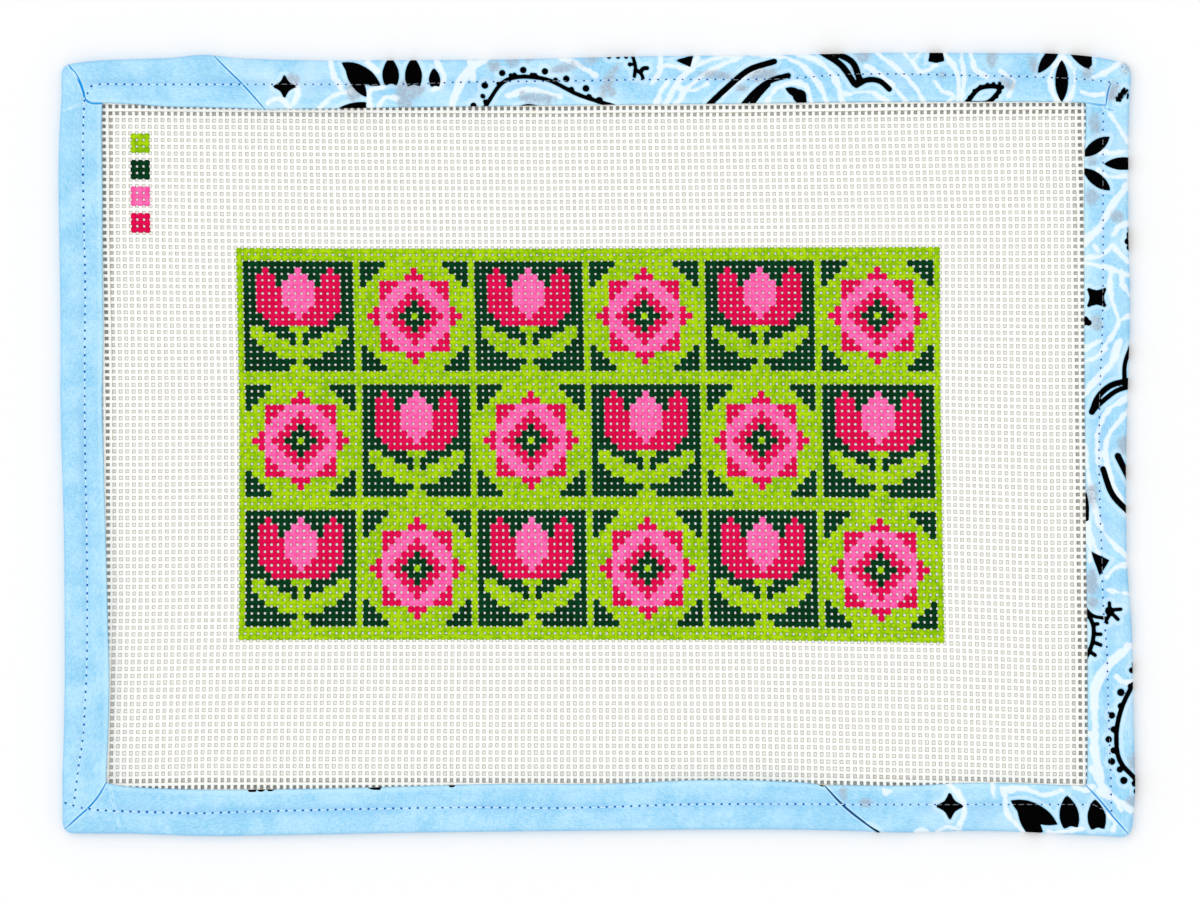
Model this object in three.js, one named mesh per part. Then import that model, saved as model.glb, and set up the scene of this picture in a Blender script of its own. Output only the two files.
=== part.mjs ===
// A needlepoint canvas panel: a flat piece of stiff open canvas whose cut edge is bound all round
// with a folded cotton strip. The binding is two strips, one plain and one printed, joined by two
// slanting seams and folded to a mitre at each corner.
// Millimetres, +Z up. The panel lies on its back, and the origin is on the surface under its centre.

import * as THREE from "three";

// The panel, fold to fold.
const HALF_WIDTH = 160;
const HALF_DEPTH = 116;
const BINDING_WIDTH = 13.5;

// Heights from the surface up: back leg of the binding, canvas, front leg.
const CLOTH = 1;
const GAP = 0.3;
const CANVAS = 1;
const BACK_TOP = CLOTH;
const CANVAS_RAISED = BACK_TOP + GAP;
const FRONT_UNDER = CANVAS_RAISED + CANVAS + GAP;
const FRONT_TOP = FRONT_UNDER + CLOTH;

// The canvas stops short of the fold, and lies down on the surface inside the binding.
const CANVAS_INSET = 2.4;
const CANVAS_CORNER_PULL = 2.2;
const CORNER_SHARPNESS = 14;

// The strip is laid out in slices about this far apart.
const SLICE_STEP = 9;
// Slices of the fan at a corner: how far from the corner each one starts and ends.
const FAN = [
  { fold: 5.5, edge: 2.6 },
  { fold: 2.2, edge: 1.2 },
];
// The upper layer of a mitre stands higher by this much, fading out along its side.
const MITRE_LIFT = 0.6;
const MITRE_FADE = 14;
const MITRE_SPLIT = 0.25;
// The gap between the two strips at a seam, measured along the strip.
const SEAM_GAP = 0.45;

// Soft waves along the strip's top.
const WAVE_HEIGHT = 0.12;
const WAVE_LENGTH = 31;
const STITCH_SHARE = 0.53;

// Each side runs clockwise. "at" is measured along it from its middle, and "fold" and "edge" say how
// far the outer fold and the free edge stand out from their straight lines. "rise" is the reach over
// which the canvas comes up from the surface to the binding.
const SIDES = {
  top: {
    turn: 0,
    half: HALF_DEPTH,
    rise: 9,
    rows: [
      { at: -157, fold: -1.7, edge: -0.1 },
      { at: -151, fold: -1.0, edge: -0.1 },
      { at: -140, fold: -0.5, edge: -0.5 },
      { at: -128, fold: -0.1, edge: -1.3 },
      { at: -117, fold: 0.8, edge: -1.5 },
      { at: -109, fold: 0.0, edge: -1.7 },
      { at: -89, fold: -0.8, edge: -1.9 },
      { at: -59, fold: -0.8, edge: -1.5 },
      { at: -29, fold: -0.6, edge: -1.1 },
      { at: 16, fold: 0.4, edge: -0.6 },
      { at: 52, fold: 0.7, edge: -0.2 },
      { at: 85, fold: 1.4, edge: 0.2 },
      { at: 121, fold: 1.3, edge: 0.2 },
      { at: 139, fold: 1.1, edge: 0.2 },
      { at: 149, fold: 0.2, edge: -0.1 },
      { at: 157, fold: -1.3, edge: -0.3 },
    ],
  },
  right: {
    turn: -1,
    half: HALF_WIDTH,
    rise: 13,
    rows: [
      { at: -111, fold: 0.1, edge: 0.4 },
      { at: -101, fold: -0.5, edge: 0.2 },
      { at: -82, fold: -0.7, edge: -0.5 },
      { at: -64, fold: -0.7, edge: -0.5 },
      { at: -42, fold: -0.2, edge: -0.5 },
      { at: -18, fold: -0.8, edge: -0.4 },
      { at: 6, fold: -1.4, edge: -0.2 },
      { at: 18, fold: -1.4, edge: -0.1 },
      { at: 36, fold: -1.1, edge: 0.1 },
      { at: 54, fold: 0.2, edge: 0.4 },
      { at: 78, fold: 0.8, edge: 0.5 },
      { at: 95, fold: 1.0, edge: 0.5 },
      { at: 107, fold: 0.6, edge: 0.5 },
    ],
  },
  bottom: {
    turn: -2,
    half: HALF_DEPTH,
    rise: 7,
    rows: [
      { at: -147, fold: 0.6, edge: 0.0 },
      { at: -129, fold: -0.2, edge: -0.9 },
      { at: -112, fold: -0.2, edge: -1.1 },
      { at: -93, fold: 0.3, edge: -0.3 },
      { at: -76, fold: -0.2, edge: -0.5 },
      { at: -58, fold: -0.6, edge: -1.5 },
      { at: -34, fold: -0.6, edge: -2.0 },
      { at: -4, fold: -0.3, edge: -0.9 },
      { at: 29, fold: 0.0, edge: -0.8 },
      { at: 59, fold: 0.4, edge: 0.0 },
      { at: 89, fold: 1.0, edge: 0.7 },
      { at: 119, fold: 1.3, edge: 0.9 },
      { at: 140, fold: 0.6, edge: 0.3 },
    ],
  },
  left: {
    turn: -3,
    half: HALF_WIDTH,
    rise: 7,
    rows: [
      { at: -98, fold: 0.2, edge: 0.5 },
      { at: -86, fold: -0.2, edge: -0.1 },
      { at: -74, fold: -0.4, edge: -0.4 },
      { at: -50, fold: -0.4, edge: 0.1 },
      { at: -26, fold: -0.2, edge: 0.7 },
      { at: -2, fold: 0.5, edge: 1.4 },
      { at: 10, fold: 0.8, edge: 1.7 },
      { at: 34, fold: 0.8, edge: 1.4 },
      { at: 58, fold: 1.1, edge: 1.6 },
      { at: 82, fold: 1.4, edge: 1.7 },
      { at: 94, fold: 1.1, edge: 1.9 },
      { at: 104, fold: 0.5, edge: 1.8 },
    ],
  },
};

// Each corner lies between two sides. Its points are measured inwards from the corner of the straight
// outline: the fold's rounded tip, the mitre line where the stitching crosses it, and the inner end
// of the mitre. "over" is the side whose cloth lies on top.
const CORNERS = {
  topLeft: { from: "left", to: "top", over: "top", tip: [0.9, 2.5], stitch: [6.1, 10.8], inner: [12.1, 13.5] },
  topRight: { from: "top", to: "right", over: "top", tip: [1, 2.5], stitch: [7, 7.5], inner: [13.4, 13.7] },
  bottomRight: { from: "right", to: "bottom", over: "right", tip: [0.4, -0.7], stitch: [6.7, 6.6], inner: [13.3, 13.8] },
  bottomLeft: { from: "bottom", to: "left", over: "left", tip: [0.5, 0.7], stitch: [7, 6.9], inner: [13, 14.7] },
};
const CORNER_SIGNS = { topLeft: [-1, 1], topRight: [1, 1], bottomRight: [1, -1], bottomLeft: [-1, -1] };

// The slanting seams, as places along their side at the fold and at the free edge.
const SEAMS = {
  upper: { side: "top", fold: -115.8, edge: -99.3 },
  lower: { side: "bottom", fold: -84.6, edge: -67.5 },
};

// The folded strip, cut across: a share of its width from the fold, and a height.
const SECTION = [
  { share: 0.95, height: 0 },
  { share: 0.5, height: 0 },
  { share: 0.07, height: 0 },
  { share: 0.015, height: 0.25 * FRONT_TOP },
  { share: 0, height: 0.5 * FRONT_TOP },
  { share: 0.015, height: 0.78 * FRONT_TOP },
  { share: 0.07, height: FRONT_TOP - 0.15 },
  { share: 0.25, height: FRONT_TOP + 0.1 },
  { share: 0.44, height: FRONT_TOP },
  { share: STITCH_SHARE, height: FRONT_TOP - 0.3 },
  { share: 0.62, height: FRONT_TOP },
  { share: 0.85, height: FRONT_TOP },
  { share: 0.97, height: FRONT_TOP - 0.1 },
  { share: 1, height: FRONT_TOP - 0.5 * CLOTH },
  { share: 0.98, height: FRONT_UNDER },
  { share: 0.5, height: FRONT_UNDER },
  { share: 0.12, height: FRONT_UNDER },
  { share: 0.08, height: 0.5 * (FRONT_UNDER + BACK_TOP) },
  { share: 0.12, height: BACK_TOP },
  { share: 0.5, height: BACK_TOP },
  { share: 0.95, height: BACK_TOP },
];

const smooth = THREE.MathUtils.smoothstep;

// How far the fold and the free edge of a side stand from the panel's centre lines at one place.
function edgesAt(side, at) {
  const { rows, half } = SIDES[side];
  const column = (name) => rows.map((row) => row[name]);
  const places = column("at");
  const held = THREE.MathUtils.clamp(at, places[0], places[places.length - 1]);
  const read = (name) => new THREE.CubicInterpolant(places, column(name), 1).evaluate(held)[0];
  return { fold: half + read("fold"), edge: half - BINDING_WIDTH + read("edge") };
}

// A point of a side, from its place along the side and its distance out from the centre line.
function onSide(side, at, out) {
  return new THREE.Vector2(at, out).rotateAround(new THREE.Vector2(), (SIDES[side].turn * Math.PI) / 2);
}

// One slice through the folded strip: the points where it meets the fold, the stitching and the
// free edge, its place along the strip, and the extra height of its front leg.
function slice(fold, edge, options = {}) {
  const stitch = options.stitch ?? fold.clone().lerp(edge, STITCH_SHARE);
  return { fold, stitch, edge, lift: options.lift ?? 0 };
}

function straightSlice(side, foldAt, edgeAt = foldAt, lift = 0) {
  const fold = onSide(side, foldAt, edgesAt(side, foldAt).fold);
  const edge = onSide(side, edgeAt, edgesAt(side, edgeAt).edge);
  return slice(fold, edge, { lift });
}

function cornerPoint(name, inset) {
  const [signX, signY] = CORNER_SIGNS[name];
  return new THREE.Vector2(signX * (HALF_WIDTH - inset[0]), signY * (HALF_DEPTH - inset[1]));
}

// The place of a point along a side, which is the reverse of onSide.
function placeOn(side, point) {
  return point.clone().rotateAround(new THREE.Vector2(), (-SIDES[side].turn * Math.PI) / 2).x;
}

// The slices that turn a corner: a fan up to the mitre, the mitre's two layers, and a fan away from it.
function cornerSlices(name) {
  const corner = CORNERS[name];
  const tip = cornerPoint(name, corner.tip);
  const stitch = cornerPoint(name, corner.stitch);
  const inner = cornerPoint(name, corner.inner);
  const liftOf = (side) => (side === corner.over ? MITRE_LIFT : 0);
  const fan = (side, way) =>
    FAN.map(({ fold, edge }) => {
      const foldAt = placeOn(side, tip) + way * fold;
      const edgeAt = placeOn(side, inner) + way * edge;
      return straightSlice(side, foldAt, edgeAt, liftOf(side) * (1 - fold / MITRE_FADE));
    });
  const layer = (side, way) => {
    const shift = onSide(side, way * MITRE_SPLIT, 0);
    const moved = [tip, inner, stitch].map((point) => point.clone().add(shift));
    return slice(moved[0], moved[1], { stitch: moved[2], lift: liftOf(side) });
  };
  return [
    ...fan(corner.from, -1),
    layer(corner.from, -1),
    layer(corner.to, 1),
    ...fan(corner.to, 1).reverse(),
  ];
}

// Slices every SLICE_STEP or so between two places of a side, both ends left out.
function sideSlices(side, start, end) {
  const count = Math.max(1, Math.round((end - start) / SLICE_STEP));
  const places = Array.from({ length: count - 1 }, (_, i) => start + ((i + 1) * (end - start)) / count);
  return places.map((at) => straightSlice(side, at));
}

function seamSlice(name, way) {
  const { side, fold, edge } = SEAMS[name];
  const shift = (way * SEAM_GAP) / 2;
  return straightSlice(side, fold + shift, edge + shift);
}

// A strip goes from one seam, round two corners, to the other seam.
function stripSlices(firstSeam, firstCorner, secondCorner, lastSeam) {
  const first = SEAMS[firstSeam];
  const last = SEAMS[lastSeam];
  const cornerAt = (name, side) => placeOn(side, cornerPoint(name, CORNERS[name].inner));
  const middle = CORNERS[firstCorner].to;
  return [
    seamSlice(firstSeam, 1),
    ...sideSlices(first.side, Math.max(first.fold, first.edge), cornerAt(firstCorner, first.side)),
    ...cornerSlices(firstCorner),
    ...sideSlices(middle, cornerAt(firstCorner, middle), cornerAt(secondCorner, middle)),
    ...cornerSlices(secondCorner),
    ...sideSlices(last.side, cornerAt(secondCorner, last.side), Math.min(last.fold, last.edge)),
    seamSlice(lastSeam, -1),
  ];
}

// The place in a slice at a share of the strip's width, bending at the stitching.
function acrossSlice({ fold, stitch, edge }, share) {
  return share < STITCH_SHARE
    ? fold.clone().lerp(stitch, share / STITCH_SHARE)
    : stitch.clone().lerp(edge, (share - STITCH_SHARE) / (1 - STITCH_SHARE));
}

// One solid from a row of slices: the section is set at each slice and the slices are skinned over.
function stripGeometry(slices) {
  const positions = [];
  const indices = [];
  const ring = SECTION.length;
  slices.forEach((cut, i) => {
    const wave = WAVE_HEIGHT * Math.sin((2 * Math.PI * i * SLICE_STEP) / WAVE_LENGTH);
    SECTION.forEach(({ share, height }) => {
      const { x, y } = acrossSlice(cut, share);
      const onTop = smooth(height, 0.6 * FRONT_TOP, 0.85 * FRONT_TOP);
      const puffed = onTop * smooth(share, 0, 0.3);
      const leg = height > FRONT_UNDER ? cut.lift * smooth(share, 0, 0.12) + wave * puffed : 0;
      positions.push(x, y, height + leg);
    });
  });
  for (let i = 0; i + 1 < slices.length; i++)
    for (let k = 0; k < ring; k++) {
      const next = (k + 1) % ring;
      const [a, b, c, d] = [i * ring + k, i * ring + next, (i + 1) * ring + next, (i + 1) * ring + k];
      indices.push(a, b, c, a, c, d);
    }
  const outline = SECTION.map(({ share, height }) => new THREE.Vector2(share, height));
  const last = (slices.length - 1) * ring;
  THREE.ShapeUtils.triangulateShape(outline, []).forEach(([a, b, c]) => {
    indices.push(a, b, c);
    indices.push(last + a, last + c, last + b);
  });
  return closedGeometry(positions, indices);
}

function closedGeometry(positions, indices) {
  const geometry = new THREE.BufferGeometry();
  geometry.setAttribute("position", new THREE.Float32BufferAttribute(positions, 3));
  geometry.setIndex(indices);
  geometry.computeVertexNormals();
  return geometry;
}

// The canvas: grid lines close together under and just inside the binding, and wide apart between.
const EDGE_LINES = [0, 5.5, 10.5, 12, 14, 16, 18.5, 21.5, 25.5];
const MIDDLE_LINES = { across: 20, along: 14 };

function gridLines(half, middle) {
  const inner = half - EDGE_LINES[EDGE_LINES.length - 1];
  const near = EDGE_LINES.map((distance) => -half + distance);
  const between = Array.from({ length: middle - 1 }, (_, i) => -inner + ((i + 1) * 2 * inner) / middle);
  return [...near, ...between, ...near.map((place) => -place).reverse()];
}

// 1 under a side's binding, falling to 0 where the canvas lies on the surface.
function riseBy(side, at, out) {
  const { edge } = edgesAt(side, at);
  return smooth(out, edge - SIDES[side].rise, edge);
}

function canvasPoint(x0, y0) {
  const across = x0 / HALF_WIDTH;
  const along = y0 / HALF_DEPTH;
  const sideX = x0 < 0 ? "left" : "right";
  const sideY = y0 < 0 ? "bottom" : "top";
  const placeX = x0 < 0 ? y0 : -y0;
  const placeY = y0 < 0 ? -x0 : x0;
  const pull = CANVAS_CORNER_PULL * Math.pow(Math.abs(across * along), CORNER_SHARPNESS);
  const reachX = (edgesAt(sideX, placeX).fold - CANVAS_INSET - pull) / HALF_WIDTH;
  const reachY = (edgesAt(sideY, placeY).fold - CANVAS_INSET - pull) / HALF_DEPTH;
  const x = x0 * reachX;
  const y = y0 * reachY;
  const low = (1 - riseBy(sideX, placeX, Math.abs(x))) * (1 - riseBy(sideY, placeY, Math.abs(y)));
  return { x, y, base: CANVAS_RAISED * (1 - low) };
}

function canvasGeometry() {
  const columns = gridLines(HALF_WIDTH, MIDDLE_LINES.across);
  const rows = gridLines(HALF_DEPTH, MIDDLE_LINES.along);
  const layer = columns.length * rows.length;
  const points = rows.flatMap((y0) => columns.map((x0) => canvasPoint(x0, y0)));
  const positions = [0, CANVAS].flatMap((up) => points.flatMap(({ x, y, base }) => [x, y, base + up]));
  const indices = [];
  const quad = (a, b, c, d) => indices.push(a, b, c, a, c, d);
  const at = (i, j, up) => up * layer + j * columns.length + i;
  for (let j = 0; j + 1 < rows.length; j++)
    for (let i = 0; i + 1 < columns.length; i++) {
      quad(at(i, j, 1), at(i + 1, j, 1), at(i + 1, j + 1, 1), at(i, j + 1, 1));
      quad(at(i, j + 1, 0), at(i + 1, j + 1, 0), at(i + 1, j, 0), at(i, j, 0));
    }
  const [right, top] = [columns.length - 1, rows.length - 1];
  for (let i = 0; i < right; i++) {
    quad(at(i, 0, 0), at(i + 1, 0, 0), at(i + 1, 0, 1), at(i, 0, 1));
    quad(at(i + 1, top, 0), at(i, top, 0), at(i, top, 1), at(i + 1, top, 1));
  }
  for (let j = 0; j < top; j++) {
    quad(at(0, j + 1, 0), at(0, j, 0), at(0, j, 1), at(0, j + 1, 1));
    quad(at(right, j, 0), at(right, j + 1, 0), at(right, j + 1, 1), at(right, j, 1));
  }
  return closedGeometry(positions, indices);
}

function cotton(name, geometry, colour) {
  const mesh = new THREE.Mesh(geometry, new THREE.MeshStandardMaterial({ color: colour, roughness: 0.9 }));
  mesh.name = name;
  return mesh;
}

const panel = new THREE.Group();
panel.add(
  cotton("canvas", canvasGeometry(), "#f8f8f3"),
  cotton(
    "binding_plain",
    stripGeometry(stripSlices("lower", "bottomLeft", "topLeft", "upper")),
    "#a8dffc",
  ),
  cotton(
    "binding_print",
    stripGeometry(stripSlices("upper", "topRight", "bottomRight", "lower")),
    "#b4dcf4",
  ),
);

const box = new THREE.Box3().setFromObject(panel);
const centre = box.getCenter(new THREE.Vector3());
panel.position.set(-centre.x, -centre.y, -box.min.z);

export default panel;
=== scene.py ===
import math

import bpy
import numpy as np
from mathutils.bvhtree import BVHTree
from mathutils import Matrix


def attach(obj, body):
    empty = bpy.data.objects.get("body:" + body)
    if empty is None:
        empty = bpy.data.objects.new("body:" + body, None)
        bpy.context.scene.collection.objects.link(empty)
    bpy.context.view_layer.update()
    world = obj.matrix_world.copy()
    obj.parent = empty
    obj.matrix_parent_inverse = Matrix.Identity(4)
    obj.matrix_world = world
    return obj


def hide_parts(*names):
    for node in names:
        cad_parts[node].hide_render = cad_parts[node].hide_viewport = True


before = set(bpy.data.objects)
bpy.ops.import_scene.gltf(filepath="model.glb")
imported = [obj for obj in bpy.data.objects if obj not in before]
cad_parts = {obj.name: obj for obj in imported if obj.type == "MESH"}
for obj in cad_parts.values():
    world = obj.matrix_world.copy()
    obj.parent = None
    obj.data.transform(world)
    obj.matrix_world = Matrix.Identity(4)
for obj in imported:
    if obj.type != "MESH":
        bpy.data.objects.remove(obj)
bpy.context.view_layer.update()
bpy.ops.object.select_all(action="DESELECT")

# ---------------------------------------------------------------------------------------------
# Camera: straight above the panel, far enough away that the low binding leans outwards by
# less than half a millimetre. The frame is 360 mm wide where the canvas lies.

CAMERA_HEIGHT = 2.5
FRAME_WIDTH = 0.36
SENSOR_WIDTH = 36
AIM = (0.0011, -0.0017)

bpy.ops.object.camera_add(location=(*AIM, CAMERA_HEIGHT), rotation=(0, 0, 0))
camera = bpy.context.object
camera.data.sensor_width = SENSOR_WIDTH
camera.data.lens = SENSOR_WIDTH * CAMERA_HEIGHT / FRAME_WIDTH
camera.data.clip_end = 20
bpy.context.scene.camera = camera
bpy.context.scene.view_settings.view_transform = "Standard"

# ---------------------------------------------------------------------------------------------
# Table and light: a plain white table under an even white dome of light, with a broad soft
# light from the back left, so that each thread and fold keeps a faint shaded side.

TABLE_SIZE = 6
TABLE_WHITE = 0.9
DOME_STRENGTH = 0.945
SOFT_LIGHT = {"strength": 0.6, "breadth": 60, "leans": (-12, -26)}

bpy.ops.mesh.primitive_plane_add(size=TABLE_SIZE)
table_top = bpy.context.object
table_top.name = "table_top"
table_paint = bpy.data.materials.new("white table")
table_paint.use_nodes = True
table_shader = table_paint.node_tree.nodes["Principled BSDF"]
table_shader.inputs["Base Color"].default_value = (TABLE_WHITE, TABLE_WHITE, TABLE_WHITE, 1)
table_shader.inputs["Roughness"].default_value = 0.9
table_shader.inputs["Specular IOR Level"].default_value = 0
table_top.data.materials.append(table_paint)

dome = bpy.data.worlds.new("white dome")
dome.use_nodes = True
dome.node_tree.nodes["Background"].inputs["Color"].default_value = (1, 1, 1, 1)
dome.node_tree.nodes["Background"].inputs["Strength"].default_value = DOME_STRENGTH
bpy.context.scene.world = dome

bpy.ops.object.light_add(type="SUN", location=(-0.5, 0.6, 1.5))
soft_light = bpy.context.object
soft_light.name = "soft_light"
soft_light.data.energy = SOFT_LIGHT["strength"]
soft_light.data.angle = math.radians(SOFT_LIGHT["breadth"])
soft_light.rotation_euler = (*(math.radians(lean) for lean in SOFT_LIGHT["leans"]), 0)
bpy.ops.object.select_all(action="DESELECT")

# ---------------------------------------------------------------------------------------------
# Canvas: open mono canvas, about thirteen threads to the inch, of stiffened white cotton. Each
# long thread passes over one cross thread and under the next. The long threads and the cross
# threads are two halves each. The design is painted on the threads, one colour to a crossing.

# Places, in millimetres, of the gaps between threads, by their count from the painted field's
# corner.
LONG_THREADS = {-24: -154.9, 0: -107.7, 20: -68.4, 50: -11.0, 90: 65.9, 109: 103.6, 134: 152.4}
CROSS_THREADS = {-26: 111.2, 0: 59.1, 20: 20.1, 40: -19.7, 59: -59.0, 80: -103.3, 84: -111.7}
LONG_FIRST, LONG_LAST = -23, 132
CROSS_FIRST, CROSS_LAST = -25, 82
# The long threads lean by this share of their height on the panel.
LEAN = -0.0075
# Handling has drawn the weave out of true. At each height, how far its threads lie to the right
# of those places, and then above them, at each of seven places across.
DRIFT_ACROSS = [-137, -118, -74, -14, 46, 106, 134]
DRIFT = {
    95.8: ([0.1, -0.2, -1.1, -1.2, -0.9, -1.2, -0.9], [0.15, 0.0, -0.3, -0.45, -0.1, 0.5, 0.65]),
    67.3: ([0.0, -0.05, -0.5, -0.7, -0.3, 0.0, -0.45], [0.35, 0.0, -0.35, -0.4, 0.0, 0.3, 0.45]),
    13.3: ([0.55, 0.7, 0.3, 0.0, 0.0, -0.2, -0.3], [-0.35, -0.25, -0.1, 0.0, 0.0, -0.3, -1.0]),
    -46.7: ([0.2, 0.2, 0.0, 0.1, 0.3, 0.3, -0.1], [-0.3, -0.1, 0.1, 0.1, 0.1, -0.7, -1.75]),
    -64.7: ([-0.3, -0.35, -0.3, 0.15, 0.7, 0.6, 0.0], [0.05, 0.25, 0.4, 0.35, 0.25, -0.75, -1.75]),
    -96.2: ([-1.3, -1.3, -1.2, -0.1, 1.1, 0.9, 0.0], [0.1, 0.45, 0.4, 0.25, 0.1, -1.2, -2.0]),
}

# Thread sizes: half widths where threads cross and between crossings, bare and painted.
BARE_HALF = (0.6, 0.56)
PAINTED_HALF = (0.76, 0.64)
# A thread is flattened: its top is narrower than its foot.
TOP_SHARE = 0.64
THREAD_HALF_HEIGHT = 0.16
WEAVE_HEIGHT = 0.05
CANVAS_MIDDLE = 0.25
# Threads stray sideways by about this, and vary in width by about this share, slowly: a random
# number to so many rings.
STRAY, UNEVEN = 0.035, 0.05
RINGS_TO_A_KNOT = 12
# Paint fills the corners of a crossing.
FILL_REACH, FILL_HALF_HEIGHT = 1.4, 0.1
# The canvas comes up from the table into the binding: where it is fully up, and over what reach.
CANVAS_LIFT = 1.65
LIFT = {"left": (147.7, 3), "right": (147.2, 5), "top": (101.6, 4), "bottom": (104, 5)}

BARE, GREEN, LIME, PINK, CRIMSON = range(5)
FIELD_COLUMNS, FIELD_ROWS = 109, 59
MOTIF_SIZE = 17
BAND_COLUMNS, BAND_ROWS = 1, 2
# Four squares of three stitches, one under another, show the paints.
TEST_PAINTS = (LIME, GREEN, PINK, CRIMSON)
TEST_COLUMN, TEST_ROW, TEST_STEP, TEST_SIZE = -16, -17, 4, 3

# Half of a tulip in a square of seventeen stitches; its right half mirrors it.
TULIP = [
    "ggggggggg", "gggcggggp", "ggcccggpp", "ggcccgppp", "ggccccppp", "ggccccppp",
    "ggccccppp", "ggcccccpp", "gggcccccp", "ggggccccc", "gllggggll", "gllllgggl",
    "gglllllgl", "gggllllll", "gggggllll", "ggggggggl", "gggggggll",
]


def tulip_square():
    colours = {"g": GREEN, "l": LIME, "c": CRIMSON, "p": PINK}
    return np.array([[colours[mark] for mark in row + row[-2::-1]] for row in TULIP])


def star_square():
    """An eight-pointed quilt star on lime, with dark corners."""
    from_middle = np.abs(np.arange(MOTIF_SIZE) - MOTIF_SIZE // 2)
    across, down = np.meshgrid(from_middle, from_middle)
    square = np.maximum(across, down)
    lozenge = across + down
    chart = np.full((MOTIF_SIZE, MOTIF_SIZE), LIME)
    chart[lozenge >= 13] = GREEN
    chart[(square <= 5) | (lozenge <= 7)] = CRIMSON
    chart[(square <= 5) & (lozenge <= 7)] = PINK
    chart[lozenge <= 4] = CRIMSON
    chart[lozenge <= 2] = GREEN
    chart[lozenge == 0] = LIME
    return chart


def painted_field():
    """Squares of tulips and stars in turn, with lime bands between them."""
    chart = np.full((FIELD_ROWS, FIELD_COLUMNS), LIME)
    tops = range(BAND_ROWS, FIELD_ROWS, MOTIF_SIZE + BAND_ROWS)
    lefts = range(BAND_COLUMNS, FIELD_COLUMNS, MOTIF_SIZE + BAND_COLUMNS)
    for down, top in enumerate(tops):
        for across, left in enumerate(lefts):
            motif = tulip_square() if (down + across) % 2 == 0 else star_square()
            chart[top : top + MOTIF_SIZE, left : left + MOTIF_SIZE] = motif
    return chart


FIELD = painted_field()


def paint_at(columns, rows):
    """The paint on each crossing."""
    inside = (columns >= 0) & (columns < FIELD_COLUMNS) & (rows >= 0) & (rows < FIELD_ROWS)
    held_row = np.clip(rows, 0, FIELD_ROWS - 1)
    held_column = np.clip(columns, 0, FIELD_COLUMNS - 1)
    paint = np.where(inside, FIELD[held_row, held_column], BARE)
    for number, test_paint in enumerate(TEST_PAINTS):
        top = TEST_ROW + number * TEST_STEP
        across = (columns >= TEST_COLUMN) & (columns < TEST_COLUMN + TEST_SIZE)
        down = (rows >= top) & (rows < top + TEST_SIZE)
        paint = np.where(across & down, test_paint, paint)
    return paint


def drift(x, y):
    """How far the weave has been drawn right and up, read between the places in the table."""
    level = np.interp(-y, [-height for height in DRIFT], np.arange(len(DRIFT)))
    right, up = 0, 0
    for number, (rights, ups) in enumerate(DRIFT.values()):
        share = np.clip(1 - np.abs(level - number), 0, 1)
        right = right + share * np.interp(x, DRIFT_ACROSS, rights)
        up = up + share * np.interp(x, DRIFT_ACROSS, ups)
    return right, up


def grid_place(column, row):
    """Where a gap corner of the weave lies, in millimetres; halves give thread middles."""
    x = np.interp(column, list(LONG_THREADS), list(LONG_THREADS.values()))
    y = np.interp(row, list(CROSS_THREADS), list(CROSS_THREADS.values()))
    right, up = drift(x, y)
    return x + LEAN * y + right, y + up


def eased(share):
    """From 0 to 1, with a soft start and a soft stop."""
    share = np.clip(share, 0, 1)
    return share * share * (3 - 2 * share)


def canvas_lift(x, y):
    """How far the canvas has come up from the table at a place."""
    low = 1
    for side, out in {"left": -x, "right": x, "top": y, "bottom": -y}.items():
        full, reach = LIFT[side]
        low = low * (1 - eased((out - full) / reach + 1))
    return CANVAS_LIFT * (1 - low)


def wander(shape, size, seed):
    """Slow random drift along each thread of a set: a row of rings for each."""
    count, length = shape
    knots = max(4, length // RINGS_TO_A_KNOT)
    steps = np.random.default_rng(seed).normal(0, size, (count, knots))
    places = np.linspace(0, knots - 1, length)
    return np.array([np.interp(places, np.arange(knots), row) for row in steps])


def paint_fills(first, last):
    """A flat diamond of paint at each painted crossing of a band of cross threads."""
    column, row = np.meshgrid(np.arange(LONG_FIRST, LONG_LAST + 1), np.arange(first, last + 1))
    paint = paint_at(column, row).ravel()
    painted = paint != BARE
    x, y = grid_place(column.ravel()[painted] + 0.5, row.ravel()[painted] + 0.5)
    middles = np.stack([x, y, CANVAS_MIDDLE + canvas_lift(x, y)], -1)
    reach, rise = FILL_REACH, FILL_HALF_HEIGHT
    tips = [(reach, 0, 0), (0, reach, 0), (-reach, 0, 0), (0, -reach, 0)]
    tips += [(0, 0, rise), (0, 0, -rise)]
    facets = [(i, (i + 1) % 4, 4) for i in range(4)] + [((i + 1) % 4, i, 5) for i in range(4)]
    points = middles[:, None] + np.array(tips)
    faces = len(tips) * np.arange(len(x))[:, None, None] + np.array(facets)
    return points.reshape(-1, 3), faces.reshape(-1, 3), np.repeat(paint[painted], len(facets))


def tube_faces(index):
    """The sides of tubes and then their ends, from the numbers of the points in their rings."""
    turned = np.roll(index, -1, -1)
    corners = [index[..., :-1, :], turned[..., :-1, :], turned[..., 1:, :], index[..., 1:, :]]
    faces = np.stack(corners, -1).reshape(-1, 4).tolist()
    for end in (index[..., 0, ::-1], index[..., -1, :]):
        faces += np.atleast_2d(end).tolist()
    return faces


def new_piece(name, points, faces):
    """A smooth mesh in the scene, from points in millimetres."""
    mesh = bpy.data.meshes.new(name)
    mesh.from_pydata((points / 1000).tolist(), [], faces)
    mesh.polygons.foreach_set("use_smooth", np.ones(len(faces), bool))
    piece = bpy.data.objects.new(name, mesh)
    bpy.context.collection.objects.link(piece)
    return piece


def add_measure(piece, name, values):
    """A number at each point of a piece, for its finish to read."""
    measure = piece.data.attributes.new(name, "FLOAT", "POINT")
    measure.data.foreach_set("value", values.astype(np.float32))


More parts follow.
